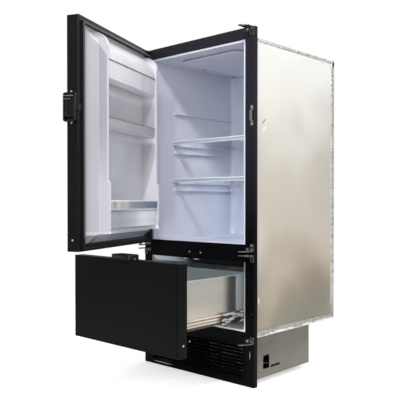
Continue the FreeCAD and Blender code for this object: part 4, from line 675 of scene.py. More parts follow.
@dataclass(frozen=True)
class ClearPane:
    """Shelf glass that lets the lamps through."""

    name: str
    colour: Colour = (0.93, 0.97, 0.98)
    tint: Colour = (0.88, 0.94, 0.96)

    def build(self) -> bpy.types.Material:
        """Returns the glass's material."""
        return made_once("finish_" + self.name, self.wire)

    def wire(self, sheet: NodeSheet) -> bpy.types.Node:
        """Adds the nodes.

        Args:
            sheet: the material's nodes.

        Returns:
            The shader.
        """
        grain = sheet.effect(GRAIN, Scale=60.0, Depth=0.00001)
        blotch = sheet.effect(BLOTCH, Base=self.colour, Tint=self.tint, Scale=5.0)
        rough = sheet.ramp(grain.outputs["Mask"], 0.3, 0.8, 0.02, 0.06)
        glass = sheet.add("BsdfPrincipled", {
            "Base Color": blotch.outputs["Color"], "Roughness": rough, "IOR": 1.45,
            "Transmission Weight": 1.0, "Normal": grain.outputs["Normal"]})
        clear = sheet.add("BsdfTransparent", {"Color": self.colour})
        shadow = sheet.add("LightPath").outputs["Is Shadow Ray"]
        return sheet.add("MixShader", {0: shadow, 1: glass.outputs[0], 2: clear.outputs[0]})


# Patterns of the finishes. Each layer says its colour and where it lies.
CASING_CLOUD = (3.2, 2.0)
# Casing: a painted reflection along its height, near white above and tan below, with a ragged edge.
CASING_PAINTED_REFLECTION = Stops(Z, 0.16, 1.22, 0.55, (
    (0.0, (0.21, 0.21, 0.17)), (0.12, (0.32, 0.278, 0.225)), (0.24, (0.51, 0.455, 0.38)),
    (0.35, (0.62, 0.565, 0.49)), (0.60, (0.67, 0.63, 0.56)), (0.80, (0.90, 0.88, 0.83)),
    (1.0, (0.97, 0.97, 0.96))), Speck(*CASING_CLOUD, 0.3, 0.7, -0.07, 0.07))
# Casing marks: a yellowish stain low down, more painted reflection that is darker in the middle and low at
# the rear and brighter near the front, then a dark smudge and a pale streak.
CASING_STAINS_AND_REFLECTION = (
    Layer((0.46, 0.40, 0.25), (Speck(*CASING_CLOUD, 0.48, 0.62), Band(Z, 0.5, 0.22, 0.0, 0.18))),
    Layer((0.24, 0.21, 0.16), (Band(Y, 0.12, 0.34), Band(Z, 0.65, 0.28)), 0.04),
    Layer((0.52, 0.50, 0.45), (Band(Y, 0.08, 0.30), Band(Z, 0.50, 0.68), Band(Z, 1.15, 1.02, 0.0, 0.35))),
    Layer((1.0, 0.99, 0.98), (Band(Y, -0.150, -0.178, 0.0, 0.7), Band(Z, 0.60, 0.72))),
    Layer((0.98, 0.965, 0.95), (Spot((0.262, -0.19, 0.50), (0.1, 0.13, 0.20), soft=0.0),), 0.36),
    Layer((0.10, 0.10, 0.10), (Spot((0.262, -0.123, 0.932), (0.1, 0.020, 0.004), (0.7, 0.0, 0.0)),), 0.6),
    Layer((0.95, 0.95, 0.93), (Spot((0.262, -0.120, 0.905), (0.1, 0.022, 0.006), (0.9, 0.0, 0.0)),), 0.8))
# Machine box: paler below, specked, with a dark strip just behind the frame and painted shade in and round
# the slot.
BOX_MARKS_AND_SLOT_SHADE = (
    Layer((0.29, 0.28, 0.25), (Band(Z, 0.14, 0.05, 0.0, 0.35),)),
    Layer((0.05, 0.045, 0.04), (Speck(75.0, 3.0, 0.62, 0.72, 0.0, 0.45),)),
    Layer((0.006, 0.006, 0.006), (AnyOf((
        (Band(Y, -0.1665, -0.1690), Band(Z, 0.1310, 0.1290)),
        (Band(Y, -0.0815, -0.0800), Band(Y, -0.0255, -0.0270), Band(Z, 0.0485, 0.0497),
         Band(Z, 0.0585, 0.0573)))),)))
# Face frame: a little lighter above, with a painted reflection under the middle rail, painted glints on the
# strip under the rail and along the bottom of the grille opening, and a pale mark on the stile.
FRAME_SHEEN_GLINTS_AND_MARKS = (
    Layer((0.0185, 0.0175, 0.0240), (Band(Z, 0.42, 1.00),)),
    Layer((0.80, 0.88, 1.0), (Band(Z, 0.4349, 0.4338), Band(Z, 0.4148, 0.4156),
                              Band(ACROSS, 0.2320, 0.2312), Band(X, -0.02, -0.16))),
    # Painted glints under the rail and at the bottom of the grille opening, and the pale mark on the stile.
    Layer((0.72, 0.72, 0.70), (AnyOf((
        (Spot((-0.054, -0.195, 0.4315), (0.014, 0.05, 0.0028)),),
        (Spot((0.003, -0.195, 0.4320), (0.018, 0.05, 0.0026)),),
        (Spot((0.2596, -0.2, 0.1125), (0.0009, 0.01, 0.017)),),
        (Spot((-0.176, -0.2, 0.0128), (0.064, 0.02, 0.0016)),))),)))
# Fridge liner: bluer in the depth, with painted shade low at the back and along the front.
LINER_TINT_AND_SHADE = (
    Layer((0.69, 0.715, 0.84), (Band(Y, -0.05, 0.26),)),
    Layer((0.37, 0.385, 0.475), (Band(Z, 0.74, 0.68), Band(Z, 0.46, 0.58), Band(Y, 0.17, 0.29, 0.0, 0.6))),
    Layer((0.50, 0.515, 0.60), (Band(Y, -0.185, -0.150), Band(Y, -0.055, -0.095), Band(Z, 1.12, 1.02),
                                Band(Z, 0.50, 0.62)), 0.5))
# Freezer liner: a duller upright front lip.
FREEZER_MARKS = (Layer((0.30, 0.32, 0.34), (Band(Y, -0.180, -0.190), Band(Z, 0.215, 0.250, 0.0, 0.9))),)
# Screw heads: the painted ones of the frame and the door, then those of the middle rail. Sharp edges.
SHARP = 0.000001
SCREW_MARKS = (
    Layer((0.012, 0.012, 0.013), (AnyOf([
        (Band(Z, low, low + SHARP), Band(Z, high, high - SHARP))
        for low, high in ((1.13, 1.16), (1.18, 1.22), (0.24, 0.27))]),), 0.97),
    Layer((0.03, 0.03, 0.032), (Band(Z, 0.435, 0.435 + SHARP), Band(Z, 0.456, 0.456 - SHARP)), 0.8))
# Foil: painted shade in its creases, darker below with a painted highlight along its ragged lower edge, a
# grey line, and the painted shade of a fold at the top corner.
FOIL_STRETCH = (1.0, 0.35, 1.0)
FOIL_MARKS_AND_PAINTED_LIGHT = (
    Layer((0.30, 0.29, 0.265), (Speck(60.0, 3.0, 0.52, 0.66, 0.0, 0.55, FOIL_STRETCH),)),
    Layer((0.29, 0.28, 0.24), (Band(Z, 0.30, 0.19, 0.0, 0.72),)),
    Layer((0.95, 0.94, 0.90), (Band(Z, 0.1760, 0.1740, ragged=Speck(
        60.0, 3.0, 0.35, 0.60, -0.003, 0.003, FOIL_STRETCH)),), 0.85),
    Layer((0.36, 0.355, 0.33), (Band(Y, 0.3275, 0.3305), Band(Y, 0.3440, 0.3410),
                                Band(Z, 0.19, 0.20, 0.0, 0.45))),
    Layer((0.03, 0.03, 0.03), (Spot((0.262, 0.343, 1.206), (0.02, 0.007, 0.014)),)))
# Door moulding: painted shade in the recess between the cheeks, on the cheeks' outer sides and on the slopes
# round them, with painted light under the bins, a painted highlight along the lower lip, and near black
# beyond the seal.
BETWEEN = Band(ACROSS, 0.1907, 0.1903)
CHEEK_SIDE = Band(ACROSS, 0.2030, 0.2038)
# The recess's painted shade: grey with soft pale patches, darker by the free-end cheek, lit and shaded on
# either side of a slanted edge on the hinge-side cheek's inner face, and painted light under the middle and
# upper bins.
RECESS_SHADE = Coat((0.46, 0.465, 0.495), (
    Layer((0.66, 0.66, 0.70), (Speck(5.0, 1.0, 0.52, 0.66, 0.0, 0.3),)),
    Layer((0.24, 0.242, 0.262), (Band(X, 0.090, 0.175, 0.0, 0.5),)),
    Layer(Coat((0.42, 0.42, 0.455), (Layer((0.66, 0.645, 0.72), (Band(SLANT, -0.194, -0.178),)),)),
          (Band(X, -0.1880, -0.1897),)),
    Layer((0.93, 0.93, 0.95), (Band(Z, 0.858, 0.884), Band(Z, 0.900, 0.890))),
    Layer((0.86, 0.86, 0.90), (Band(Z, 1.000, 1.047, 0.0, 0.75),))))
# Painted shade on the cheeks' outer sides, darker on the slope beyond them and higher up, below the cheeks'
# bowed upper edge.
CHEEK_SHADE = Coat((0.50, 0.495, 0.52), (
    Layer(Coat((0.485, 0.48, 0.53), (
        Layer((0.36, 0.355, 0.40), (Band(ACROSS, 0.2046, 0.2056),)),
        Layer((0.31, 0.305, 0.34), (Band(Z, 0.66, 0.90, 0.0, 0.85),)))), (Band(ARCH, 1.1900, 1.1880),)),))
# Painted shade on the lower slope, darker beyond the cheeks.
FOOT_SHADE = Coat((0.30, 0.31, 0.345), (Layer((0.15, 0.15, 0.16), (CHEEK_SIDE,)),))
# Painted shade along the seal's margin, on the lower slope and along the top, near black on the hinge side
# and at the bottom; a painted highlight along the lower lip; near black beyond the seal.
DOOR_PAINTED_LIGHT_AND_SHADE = (
    Layer(RECESS_SHADE, (BETWEEN, Band(Y, -0.154, -0.156), Band(Z, 1.075, 1.060))),
    Layer(CHEEK_SHADE, (CHEEK_SIDE,)),
    Layer((0.20, 0.195, 0.22), (Band(ACROSS, 0.2300, 0.2450),)),
    Layer((0.98, 0.98, 1.0), (AnyOf((
        (Band(Z, 0.5500, 0.5480), Band(ACROSS, 0.2038, 0.2030, 0.15, 1.0)),
        (Band(Z, 0.5590, 0.5580), BETWEEN))),)),
    Layer(FOOT_SHADE, (Band(Z, 0.5400, 0.5360),)),
    Layer((0.20, 0.196, 0.222), (Band(Z, 1.1680, 1.2020),)),
    Layer((0.020, 0.020, 0.024), (AnyOf((
        (Band(X, -0.2050, -0.2200),), (Band(Z, 0.5150, 0.5120),),
        (Band(Z, 0.545, 0.535), Band(X, -0.180, -0.197)))),)),
    Layer((0.012, 0.012, 0.013), (AnyOf((
        (Band(ACROSS, 0.2555, 0.2560),), (Band(Z, 1.2180, 1.2185),), (Band(Z, 0.4955, 0.4950),))),)))
# Bins: an upright band of painted shade on the upper one, a grey middle one, undersides painted near white as
# painted light, and the lower one's two ends.
BIN_MARKS_AND_PAINTED_LIGHT = (
    Layer((0.50, 0.50, 0.58), (Spot((0.0, -0.370, 1.08), (1.0, 0.034, 0.2), soft=0.0),), 0.40),
    Layer((0.36, 0.36, 0.385), (Band(Z, 0.95, 0.94), Band(Z, 0.8890, 0.8906))),
    Layer((0.95, 0.95, 0.97), (AnyOf((
        (Band(Z, 1.0488, 1.0486), Band(Z, 1.0, 1.01)), (Band(Z, 0.5600, 0.5585),))),)),
    Layer((0.95, 0.95, 0.97), (Band(Z, 0.66, 0.64), Band(Y, -0.47, -0.36, 0.0, 0.7))),
    Layer((0.33, 0.335, 0.385), (Band(Z, 0.66, 0.64), Band(Y, -0.38, -0.56, 0.0, 0.92))))
# Latches: two painted highlight lines across the door's one.
LATCH_PAINTED_HIGHLIGHTS = (
    Layer((0.26, 0.26, 0.28), (AnyOf([
        (Band(Z, level - 0.0013, level - 0.0006), Band(Z, level + 0.0013, level + 0.0006),
         Band(X, end, end - 0.003)) for level, end in ((0.9800, -0.016), (0.9700, -0.028))]),), 0.8),)
# Shelf edging: milky between its two edges, on both shelves.
TRIM_MARKS = (
    Layer((0.36, 0.39, 0.50), (AnyOf([
        (Band(Z, bottom + 0.0024, bottom + 0.0040), Band(Z, bottom + 0.0138, bottom + 0.0122))
        for bottom in (0.7255, 0.8785)]),), 0.92),)
# Drawer box: paler above, with a painted reflection on its rear end, a dark band and then a cool part; cool
# inside, with a painted highlight along the rim.
DRAWER_MARKS_AND_REFLECTION = (
    Layer((0.74, 0.71, 0.65), (Band(Z, 0.30, 0.37, 0.0, 0.5),)),
    Layer((0.66, 0.73, 0.77), (Band(Y, -0.226, -0.216),), 0.7),
    Layer((0.085, 0.10, 0.105), (Band(Y, -0.300, -0.245), Band(Y, -0.216, -0.226)), 0.85),
    Layer((0.60, 0.655, 0.67), (Band(ACROSS, 0.2144, 0.2141),)),
    Layer((0.95, 0.96, 0.94), (Band(Z, 0.3892, 0.3900),)))
# Slides: painted highlights along the lips with a warm web between them, and pale ball cages on the middle
# member.
RAIL_TONES_AND_HIGHLIGHTS = Stops(Z, 0.2325, 0.2625, 0.45, (
    (0.0, (0.10, 0.09, 0.08)), (0.16, (0.14, 0.13, 0.12)), (0.26, (0.85, 0.82, 0.76)),
    (0.34, (0.30, 0.28, 0.25)), (0.50, (0.36, 0.32, 0.28)), (0.60, (0.92, 0.84, 0.74)),
    (0.70, (0.34, 0.24, 0.19)), (0.85, (0.42, 0.30, 0.24)), (0.93, (0.96, 0.88, 0.76))))
CAGE_MARKS = (
    Layer((0.50, 0.50, 0.49), (Cells(100.0, 0.50, 0.56, (1.0, 0.38, 1.5)), Band(Y, -0.150, -0.200))),)
# Door seal: its bead is greyer at the free end and along the top.
SEAL_FACE = Band(Y, FACE - 0.0030, FACE - 0.0012)
SEAL_MARKS = (
    Layer((0.060, 0.059, 0.070), (SEAL_FACE, Band(X, 0.2440, 0.2470), Band(Z, 0.520, 0.545))),
    Layer((0.060, 0.058, 0.058), (SEAL_FACE, Band(Z, 1.2080, 1.2120))))
# Chrome bar: a painted reflection, bright at its free end and slate blue towards the hinge.
BAR_PAINTED_REFLECTION = Stops(Y, -0.625, -0.262, 0.4, (
    (0.0, (0.55, 0.54, 0.50)), (0.06, (0.78, 0.76, 0.70)), (0.11, (0.56, 0.54, 0.49)),
    (0.17, (0.92, 0.91, 0.88)), (0.24, (0.70, 0.69, 0.66)), (0.32, (0.80, 0.80, 0.79)),
    (0.42, (0.48, 0.49, 0.53)), (0.62, (0.36, 0.375, 0.43)), (0.80, (0.26, 0.275, 0.325)),
    (0.97, (0.17, 0.185, 0.245))))

BLACK_PAINT = RibbedSide("black_paint", (0.0034, 0.0034, 0.0036), (0.0050, 0.0048, 0.0052), 0.40,
                         blotch_scale=5.0, grain_scale=900.0, grain_depth=0.000025, gloss_drift=0.05,
                         dust=0.01, specular=0.07)
FRAME_PAINT = Finish("frame_paint", (0.0014, 0.0014, 0.0020), (0.0024, 0.0022, 0.0032), 0.38,
                     blotch_scale=5.0, grain_scale=900.0, grain_depth=0.000025, wear=0.25, wear_cover=0.62,
                     wear_colour=(0.20, 0.20, 0.19), dust=0.02, specular=0.06, layers=FRAME_SHEEN_GLINTS_AND_MARKS)
DOOR_PAINT = Finish("door_paint", (0.0040, 0.0039, 0.0050), (0.0060, 0.0058, 0.0072), 0.36,
                    blotch_scale=5.0, grain_scale=900.0, grain_depth=0.000025, wear=0.15, wear_cover=0.62,
                    wear_colour=(0.20, 0.20, 0.19), dust=0.02, specular=0.12)
BRACKET_PAINT = Finish("bracket_paint", (0.010, 0.010, 0.011), (0.016, 0.016, 0.017), 0.34,
                       grain_scale=1200.0, wear=1.0, wear_radius=0.0016, wear_cover=0.30,
                       wear_colour=(0.60, 0.59, 0.55), specular=0.35)
CASING = Finish("casing_sheet", (0.98, 0.975, 0.96), (0.86, 0.85, 0.83), 0.34, metallic=0.35,
                blotch_scale=2.6, gloss_drift=0.08, grain_scale=320.0, grain_depth=0.000025,
                grain_stretch=(1.0, 1.0, 0.12), stops=CASING_PAINTED_REFLECTION, layers=CASING_STAINS_AND_REFLECTION)
FOIL = CrinkledFoil("foil_tape", (0.86, 0.85, 0.82), (0.66, 0.65, 0.61), 0.30, metallic=0.6,
                    blotch_scale=24.0, gloss_drift=0.10, layers=FOIL_MARKS_AND_PAINTED_LIGHT)
FOAM = Finish("cut_foam", (0.62, 0.58, 0.42), (0.50, 0.45, 0.30), 0.85, blotch_scale=50.0,
              grain_scale=420.0, grain_depth=0.0006)
FRIDGE_LINER = Finish("fridge_liner", (0.76, 0.775, 0.88), (0.70, 0.715, 0.83), 0.30, amount=0.35,
                      blotch_scale=3.0, grain_scale=800.0, grain_depth=0.00001, gloss_drift=0.05,
                      layers=LINER_TINT_AND_SHADE)
FREEZER_LINER = Finish("freezer_liner", (0.90, 0.93, 0.95), (0.84, 0.88, 0.90), 0.30, amount=0.4,
                       blotch_scale=4.0, grain_scale=800.0, grain_depth=0.00001, layers=FREEZER_MARKS)
DOOR_LINER = Finish("door_liner", (0.66, 0.65, 0.70), (0.61, 0.60, 0.66), 0.34, amount=0.4,
                    blotch_scale=3.5, grain_depth=0.000012, gloss_drift=0.05, layers=DOOR_PAINTED_LIGHT_AND_SHADE, shut=True)
DRAWER_LINER = Finish("drawer_liner", (0.70, 0.68, 0.74), (0.64, 0.62, 0.69), 0.36, amount=0.4,
                      blotch_scale=3.5, grain_depth=0.000012)
BIN_PLASTIC = Finish("bin_plastic", (0.68, 0.675, 0.71), (0.62, 0.615, 0.66), 0.22, blotch_scale=5.0,
                     blotch_stretch=(1.0, 1.0, 0.15), grain_scale=500.0, grain_depth=0.000008, coat=0.15,
                     layers=BIN_MARKS_AND_PAINTED_LIGHT)
# Dark grey for the ceiling fixings and for the painted shadow line under the bins' rims.
FIXING_GREY_AND_SHADOW = Finish("grey_rim", (0.085, 0.085, 0.095), (0.12, 0.12, 0.13), 0.45, grain_scale=900.0)
GREY_PAINT = Finish("grey_paint", (0.30, 0.31, 0.36), (0.36, 0.37, 0.42), 0.40, grain_scale=600.0)
COLD_PLATE = Finish("cold_plate", (0.85, 0.865, 0.97), (0.80, 0.815, 0.92), 0.34, metallic=0.05,
                    amount=0.4, grain_scale=500.0, grain_stretch=(0.06, 1.0, 1.0))
TRIM_PLASTIC = Finish("trim_plastic", (0.94, 0.95, 1.0), (0.88, 0.90, 0.97), 0.20, blotch_scale=12.0,
                      grain_depth=0.00001, coat=0.1, layers=TRIM_MARKS)
WHITE_STRIP = Finish("white_strip", (0.86, 0.86, 0.89), (0.80, 0.80, 0.84), 0.26, blotch_scale=12.0,
                     grain_depth=0.00001)
MILKY_COVER = Finish("milky_cover", (0.63, 0.625, 0.65), (0.57, 0.565, 0.60), 0.55, blotch_scale=8.0,
                     grain_depth=0.00001, specular=0.2)
WHITE_PLASTIC = Finish("white_plastic", (0.72, 0.72, 0.72), (0.66, 0.66, 0.65), 0.38, blotch_scale=20.0)
LENS_PLASTIC = Finish("lens_plastic", (0.84, 0.84, 0.78), (0.78, 0.78, 0.72), 0.22, blotch_scale=20.0,
                      grain_scale=260.0, grain_depth=0.0002, coat=0.4)
ZINC = Finish("zinc_steel", (0.30, 0.30, 0.28), (0.18, 0.18, 0.17), 0.40, metallic=0.9, blotch_scale=60.0,
              gloss_drift=0.10, grain_scale=900.0, grain_stretch=(0.05, 1.0, 1.0), wear=0.9, wear_cover=0.3,
              wear_colour=(0.75, 0.75, 0.73))
SCREWS = Finish("screw_heads", (0.66, 0.66, 0.64), (0.52, 0.52, 0.51), 0.26, metallic=0.7,
                blotch_scale=60.0, gloss_drift=0.10, grain_scale=900.0, layers=SCREW_MARKS)
RAIL_STEEL = Finish("rail_steel", (0.98, 0.94, 0.90), (0.85, 0.82, 0.78), 0.26, metallic=0.35,
                    blotch_scale=22.0, gloss_drift=0.10, grain_scale=300.0, grain_stretch=(1.0, 0.03, 1.0),
                    stops=RAIL_TONES_AND_HIGHLIGHTS)
DARK_STEEL = Finish("dark_steel", (0.020, 0.020, 0.022), (0.05, 0.05, 0.05), 0.30, metallic=0.5,
                    blotch_scale=30.0, grain_stretch=(1.0, 0.03, 1.0), wear=0.9, wear_cover=0.40,
                    layers=CAGE_MARKS)
GALVANISED = Finish("galvanised_box", (0.138, 0.126, 0.106), (0.112, 0.101, 0.083), 0.40, metallic=0.40,
                    amount=0.6, blotch_scale=5.0, gloss_drift=0.10, grain_scale=240.0, grain_depth=0.00003,
                    wear=0.5, wear_cover=0.4, wear_colour=(0.66, 0.65, 0.62), layers=BOX_MARKS_AND_SLOT_SHADE)
DRAWER_SHEET = Finish("drawer_sheet", (0.54, 0.510, 0.455), (0.48, 0.450, 0.395), 0.20, metallic=0.72,
                      amount=0.6, blotch_scale=7.0, grain_scale=400.0, grain_depth=0.000012,
                      grain_stretch=(1.0, 0.05, 1.0), layers=DRAWER_MARKS_AND_REFLECTION)
LATCH_PLASTIC = Finish("latch_plastic", (0.0035, 0.0035, 0.0038), (0.0060, 0.0060, 0.0065), 0.24,
                       blotch_scale=30.0, grain_scale=1400.0, wear=0.4, wear_cover=0.30,
                       wear_colour=(0.10, 0.10, 0.11), specular=0.25, layers=LATCH_PAINTED_HIGHLIGHTS)
BLACK_PLASTIC = Finish("black_plastic", (0.006, 0.006, 0.0065), (0.010, 0.010, 0.011), 0.26,
                       blotch_scale=30.0, grain_scale=1400.0, wear=0.35, wear_cover=0.35,
                       wear_colour=(0.10, 0.10, 0.11), specular=0.45)
GRILLE_PLASTIC = Finish("grille_plastic", (0.0012, 0.0012, 0.0013), (0.0022, 0.0022, 0.0024), 0.42,
                        blotch_scale=16.0, grain_scale=1400.0, grain_depth=0.00003, dust=0.006,
                        specular=0.05)
RUBBER_LOOK: dict[str, Any] = {"blotch_scale": 25.0, "grain_scale": 1500.0, "dust": 0.05, "specular": 0.30}
GASKET = Finish("gasket_rubber", (0.010, 0.0095, 0.012), (0.007, 0.007, 0.009), 0.50, **RUBBER_LOOK)
DOOR_GASKET = Finish("door_gasket_rubber", (0.010, 0.0095, 0.012), (0.007, 0.007, 0.009), 0.50,
                     layers=SEAL_MARKS, shut=True, **RUBBER_LOOK)
RUBBER = Finish("black_rubber", (0.020, 0.020, 0.021), (0.030, 0.030, 0.030), 0.7, blotch_scale=40.0,
                dust=0.1)
BLACK_IRON = Finish("black_enamel", (0.010, 0.010, 0.011), (0.015, 0.015, 0.015), 0.28,
                    blotch_scale=14.0, grain_scale=260.0, grain_depth=0.0001, dust=0.12, specular=0.3)
COPPER = Finish("copper_pipe", (0.62, 0.33, 0.20), (0.42, 0.20, 0.12), 0.32, metallic=1.0,
                blotch_scale=22.0, gloss_drift=0.14)
RED_COVER = Finish("red_cover", (0.42, 0.03, 0.025), (0.34, 0.02, 0.02), 0.38, blotch_scale=40.0)
CHROME = Finish("chrome_strip", (0.95, 0.95, 0.95), (0.82, 0.83, 0.84), 0.16, metallic=0.45,
                blotch_scale=20.0, gloss_drift=0.03, grain_scale=800.0, grain_depth=0.000004,
                stops=BAR_PAINTED_REFLECTION)
GLASS = ClearPane("shelf_glass")


class Moulding:
    """A mesh being shaped with bmesh operators, and the object made of it."""

    def __init__(self) -> None:
        """Starts an empty mesh."""
        self.bm = bmesh.new()

    def outline(self, half: Pair, corner: float, place: Matrix, steps: int) -> list[Any]:
        """Adds a rounded rectangle as a loop of edges.

        Args:
            half: half its width and half its height.
            corner: its corners' radius.
            place: where its centre goes, with its own plane at z of zero.
            steps: points on each corner.

        Returns:
            The loop's edges.
        """
        before = len(self.bm.edges)
        made = bmesh.ops.create_circle(self.bm, cap_ends=False, radius=corner, segments=4 * steps,
                                       matrix=Matrix.Rotation(math.pi / (4 * steps), 4, "Z"))
        for vert in made["verts"]:
            vert.co.x += math.copysign(half[0] - corner, vert.co.x)
            vert.co.y += math.copysign(half[1] - corner, vert.co.y)
        bmesh.ops.transform(self.bm, matrix=place, verts=made["verts"])
        self.bm.edges.ensure_lookup_table()
        return self.bm.edges[before:]

    def skin(self, loops: Sequence[list[Any]]) -> None:
        """Joins each loop to the next one."""
        for first, second in zip(loops, loops[1:]):
            bmesh.ops.bridge_loops(self.bm, edges=list(first) + list(second))

    def sweep(self, half: Pair, corner: float, profile: Sequence[Pair], steps: int = 5,
              closed: bool = False) -> None:
        """Carries a rounded rectangle along a profile of insets and heights.

        Args:
            half: half its width and half its height at no inset.
            corner: its corners' radius.
            profile: an inset and a height for each step.
            steps: points on each corner.
            closed: whether the last step joins the first.
        """
        inset, height = profile[0]
        place = Matrix.Translation((0, 0, height))
        loop = self.outline((half[0] - inset, half[1] - inset), corner, place, steps)
        for next_inset, next_height in [*profile[1:], *(profile[:1] if closed else ())]:
            made = bmesh.ops.extrude_edge_only(self.bm, edges=loop)["geom"]
            points = [item for item in made if isinstance(item, bmesh.types.BMVert)]
            for point in points:
                point.co.x -= math.copysign(1.0, point.co.x) * (next_inset - inset)
                point.co.y -= math.copysign(1.0, point.co.y) * (next_inset - inset)
                point.co.z += next_height - height
            fresh = set(points)
            loop = [item for item in made if isinstance(item, bmesh.types.BMEdge)
                    and all(vert in fresh for vert in item.verts)]
            inset, height = next_inset, next_height

    def cap(self, loop: list[Any]) -> None:
        """Fills a loop with one face."""
        bmesh.ops.contextual_create(self.bm, geom=list(loop))

    def close(self) -> None:
        """Fills every open loop."""
        bmesh.ops.holes_fill(self.bm, edges=self.bm.edges, sides=0)

    def block(self, low: Sequence[float], high: Sequence[float]) -> list[Any]:
        """Adds a box.

        Args:
            low: its lowest corner.
            high: its highest corner.

        Returns:
            Its points.
        """
        size = [b - a for a, b in zip(low, high)]
        middle = [(a + b) / 2 for a, b in zip(low, high)]
        place = Matrix.Translation(middle) @ Matrix.Diagonal((*size, 1.0))
        return bmesh.ops.create_cube(self.bm, size=1.0, matrix=place)["verts"]

    def soften(self, width: float) -> None:
        """Rounds every edge that turns by more than 30 degrees.

        Args:
            width: the rounding's width.
        """
        bmesh.ops.recalc_face_normals(self.bm, faces=self.bm.faces)
        sharp = [edge for edge in self.bm.edges
                 if len(edge.link_faces) == 2 and edge.calc_face_angle() > math.radians(30.0)]
        bmesh.ops.bevel(self.bm, geom=sharp, offset=width, offset_type="OFFSET", affect="EDGES",
                        segments=2, profile=0.5, clamp_overlap=True, material=-1)

    def order(self) -> None:
        """Puts edges and faces in the order of their points, so that each run gives the same mesh."""
        self.bm.verts.index_update()
        for parts in (self.bm.edges, self.bm.faces):
            ranked = sorted(parts, key=lambda part: sorted(vert.index for vert in part.verts))
            places = {part: place for place, part in enumerate(ranked)}
            parts.sort(key=places.get)

    def finish(self, name: str, body: Body, finish: Any, place: Matrix | None = None,
               turn: float = 35.0) -> bpy.types.Object:
        """Turns the mesh into a piece that rides on a body.

        Args:
            name: the piece's name.
            body: the body that it moves with.
            finish: its finish.
            place: a last move of the whole mesh.
            turn: the turn in degrees past which an edge stays sharp.

        Returns:
            The piece.
        """
        bmesh.ops.remove_doubles(self.bm, verts=self.bm.verts, dist=1e-6)
        bmesh.ops.recalc_face_normals(self.bm, faces=self.bm.faces)
        if place is not None:
            bmesh.ops.transform(self.bm, matrix=place, verts=self.bm.verts)
        self.order()
        mesh = bpy.data.meshes.new(name)
        self.bm.to_mesh(mesh)
        self.bm.free()
        for face in mesh.polygons:
            face.use_smooth = True
        mesh.set_sharp_from_angle(angle=math.radians(turn))
        piece = bpy.data.objects.new(name, mesh)
        bpy.context.scene.collection.objects.link(piece)
        mesh.materials.append(finish.build())
        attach(piece, body.value)
        LOG.info("piece %s on %s, %d faces", name, body.value, len(mesh.polygons))
        return piece


def modify(piece: bpy.types.Object, name: str, kind: str, **settings: Any) -> None:
    """Adds a modifier.

    Args:
        piece: the object that takes it.
        name: the modifier's name.
        kind: its type.
        settings: its own properties.
    """
    modifier = piece.modifiers.new(name, kind)
    for key, value in settings.items():
        setattr(modifier, key, value)


def dress(name: str, finish: Any, edge: float) -> None:
    """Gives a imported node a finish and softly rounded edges.

    Args:
        name: the node's name.
        finish: the finish that it takes.
        edge: the rounding's width, or zero for none.
    """
    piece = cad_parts[name]
    material = finish.build()
    if not piece.data.materials:
        piece.data.materials.append(material)
    for slot in piece.material_slots:
        slot.material = material
    if edge > 0:
        modify(piece, "joined", "WELD", merge_threshold=0.00001)
        modify(piece, "flats", "DECIMATE", decimate_type="DISSOLVE", angle_limit=math.radians(0.6))
        modify(piece, "soft_edges", "BEVEL", width=edge, segments=2, limit_method="ANGLE",
               angle_limit=math.radians(35))
    LOG.info("node %s dressed as %s", name, finish.name)


@dataclass(frozen=True)
class Gasket:
    """A bellows seal round an opening: ribbed on its outside, with a magnet bead towards the frame."""

    half: float
    low: float
    high: float
    width: float
    start: float
    end: float
    rubber: Finish = GASKET
    ribs: int = 3
    swell: float = 0.0020
    corner: float = 0.0015

    def build(self, name: str, body: Body, node: str, place: Matrix | None = None) -> None:
        """Sweeps the bellows round its rectangle.

        Args:
            name: the piece's name.
            body: the body that it moves with.
            node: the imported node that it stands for.
            place: a last move of the whole mesh.
        """
        depth = self.end - self.start
        steps = 4 * self.ribs
        outer, inner = [], []
        for step in range(steps + 1):
            share = step / steps
            swell = self.swell * (0.5 - 0.5 * math.cos(2 * math.pi * self.ribs * share))
            height = depth * (0.08 + 0.84 * share)
            outer.append((self.swell - swell, height))
            inner.append((self.width - 0.0024 + swell, height))
        profile = [(0.0, 0.0), *outer, (0.0030, depth), (self.width - 0.0034, depth), *reversed(inner),
                   (self.width, 0.0)]
        shape = Moulding()
        shape.sweep((self.half, (self.high - self.low) / 2), self.corner, profile, 2, closed=True)
        stand = Matrix.Translation((0.0, self.start, (self.low + self.high) / 2)) @ Matrix.Rotation(
            -QUARTER, 4, "X")
        seal = shape.finish(name, body, self.rubber, stand if place is None else place @ stand)
        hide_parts(node)


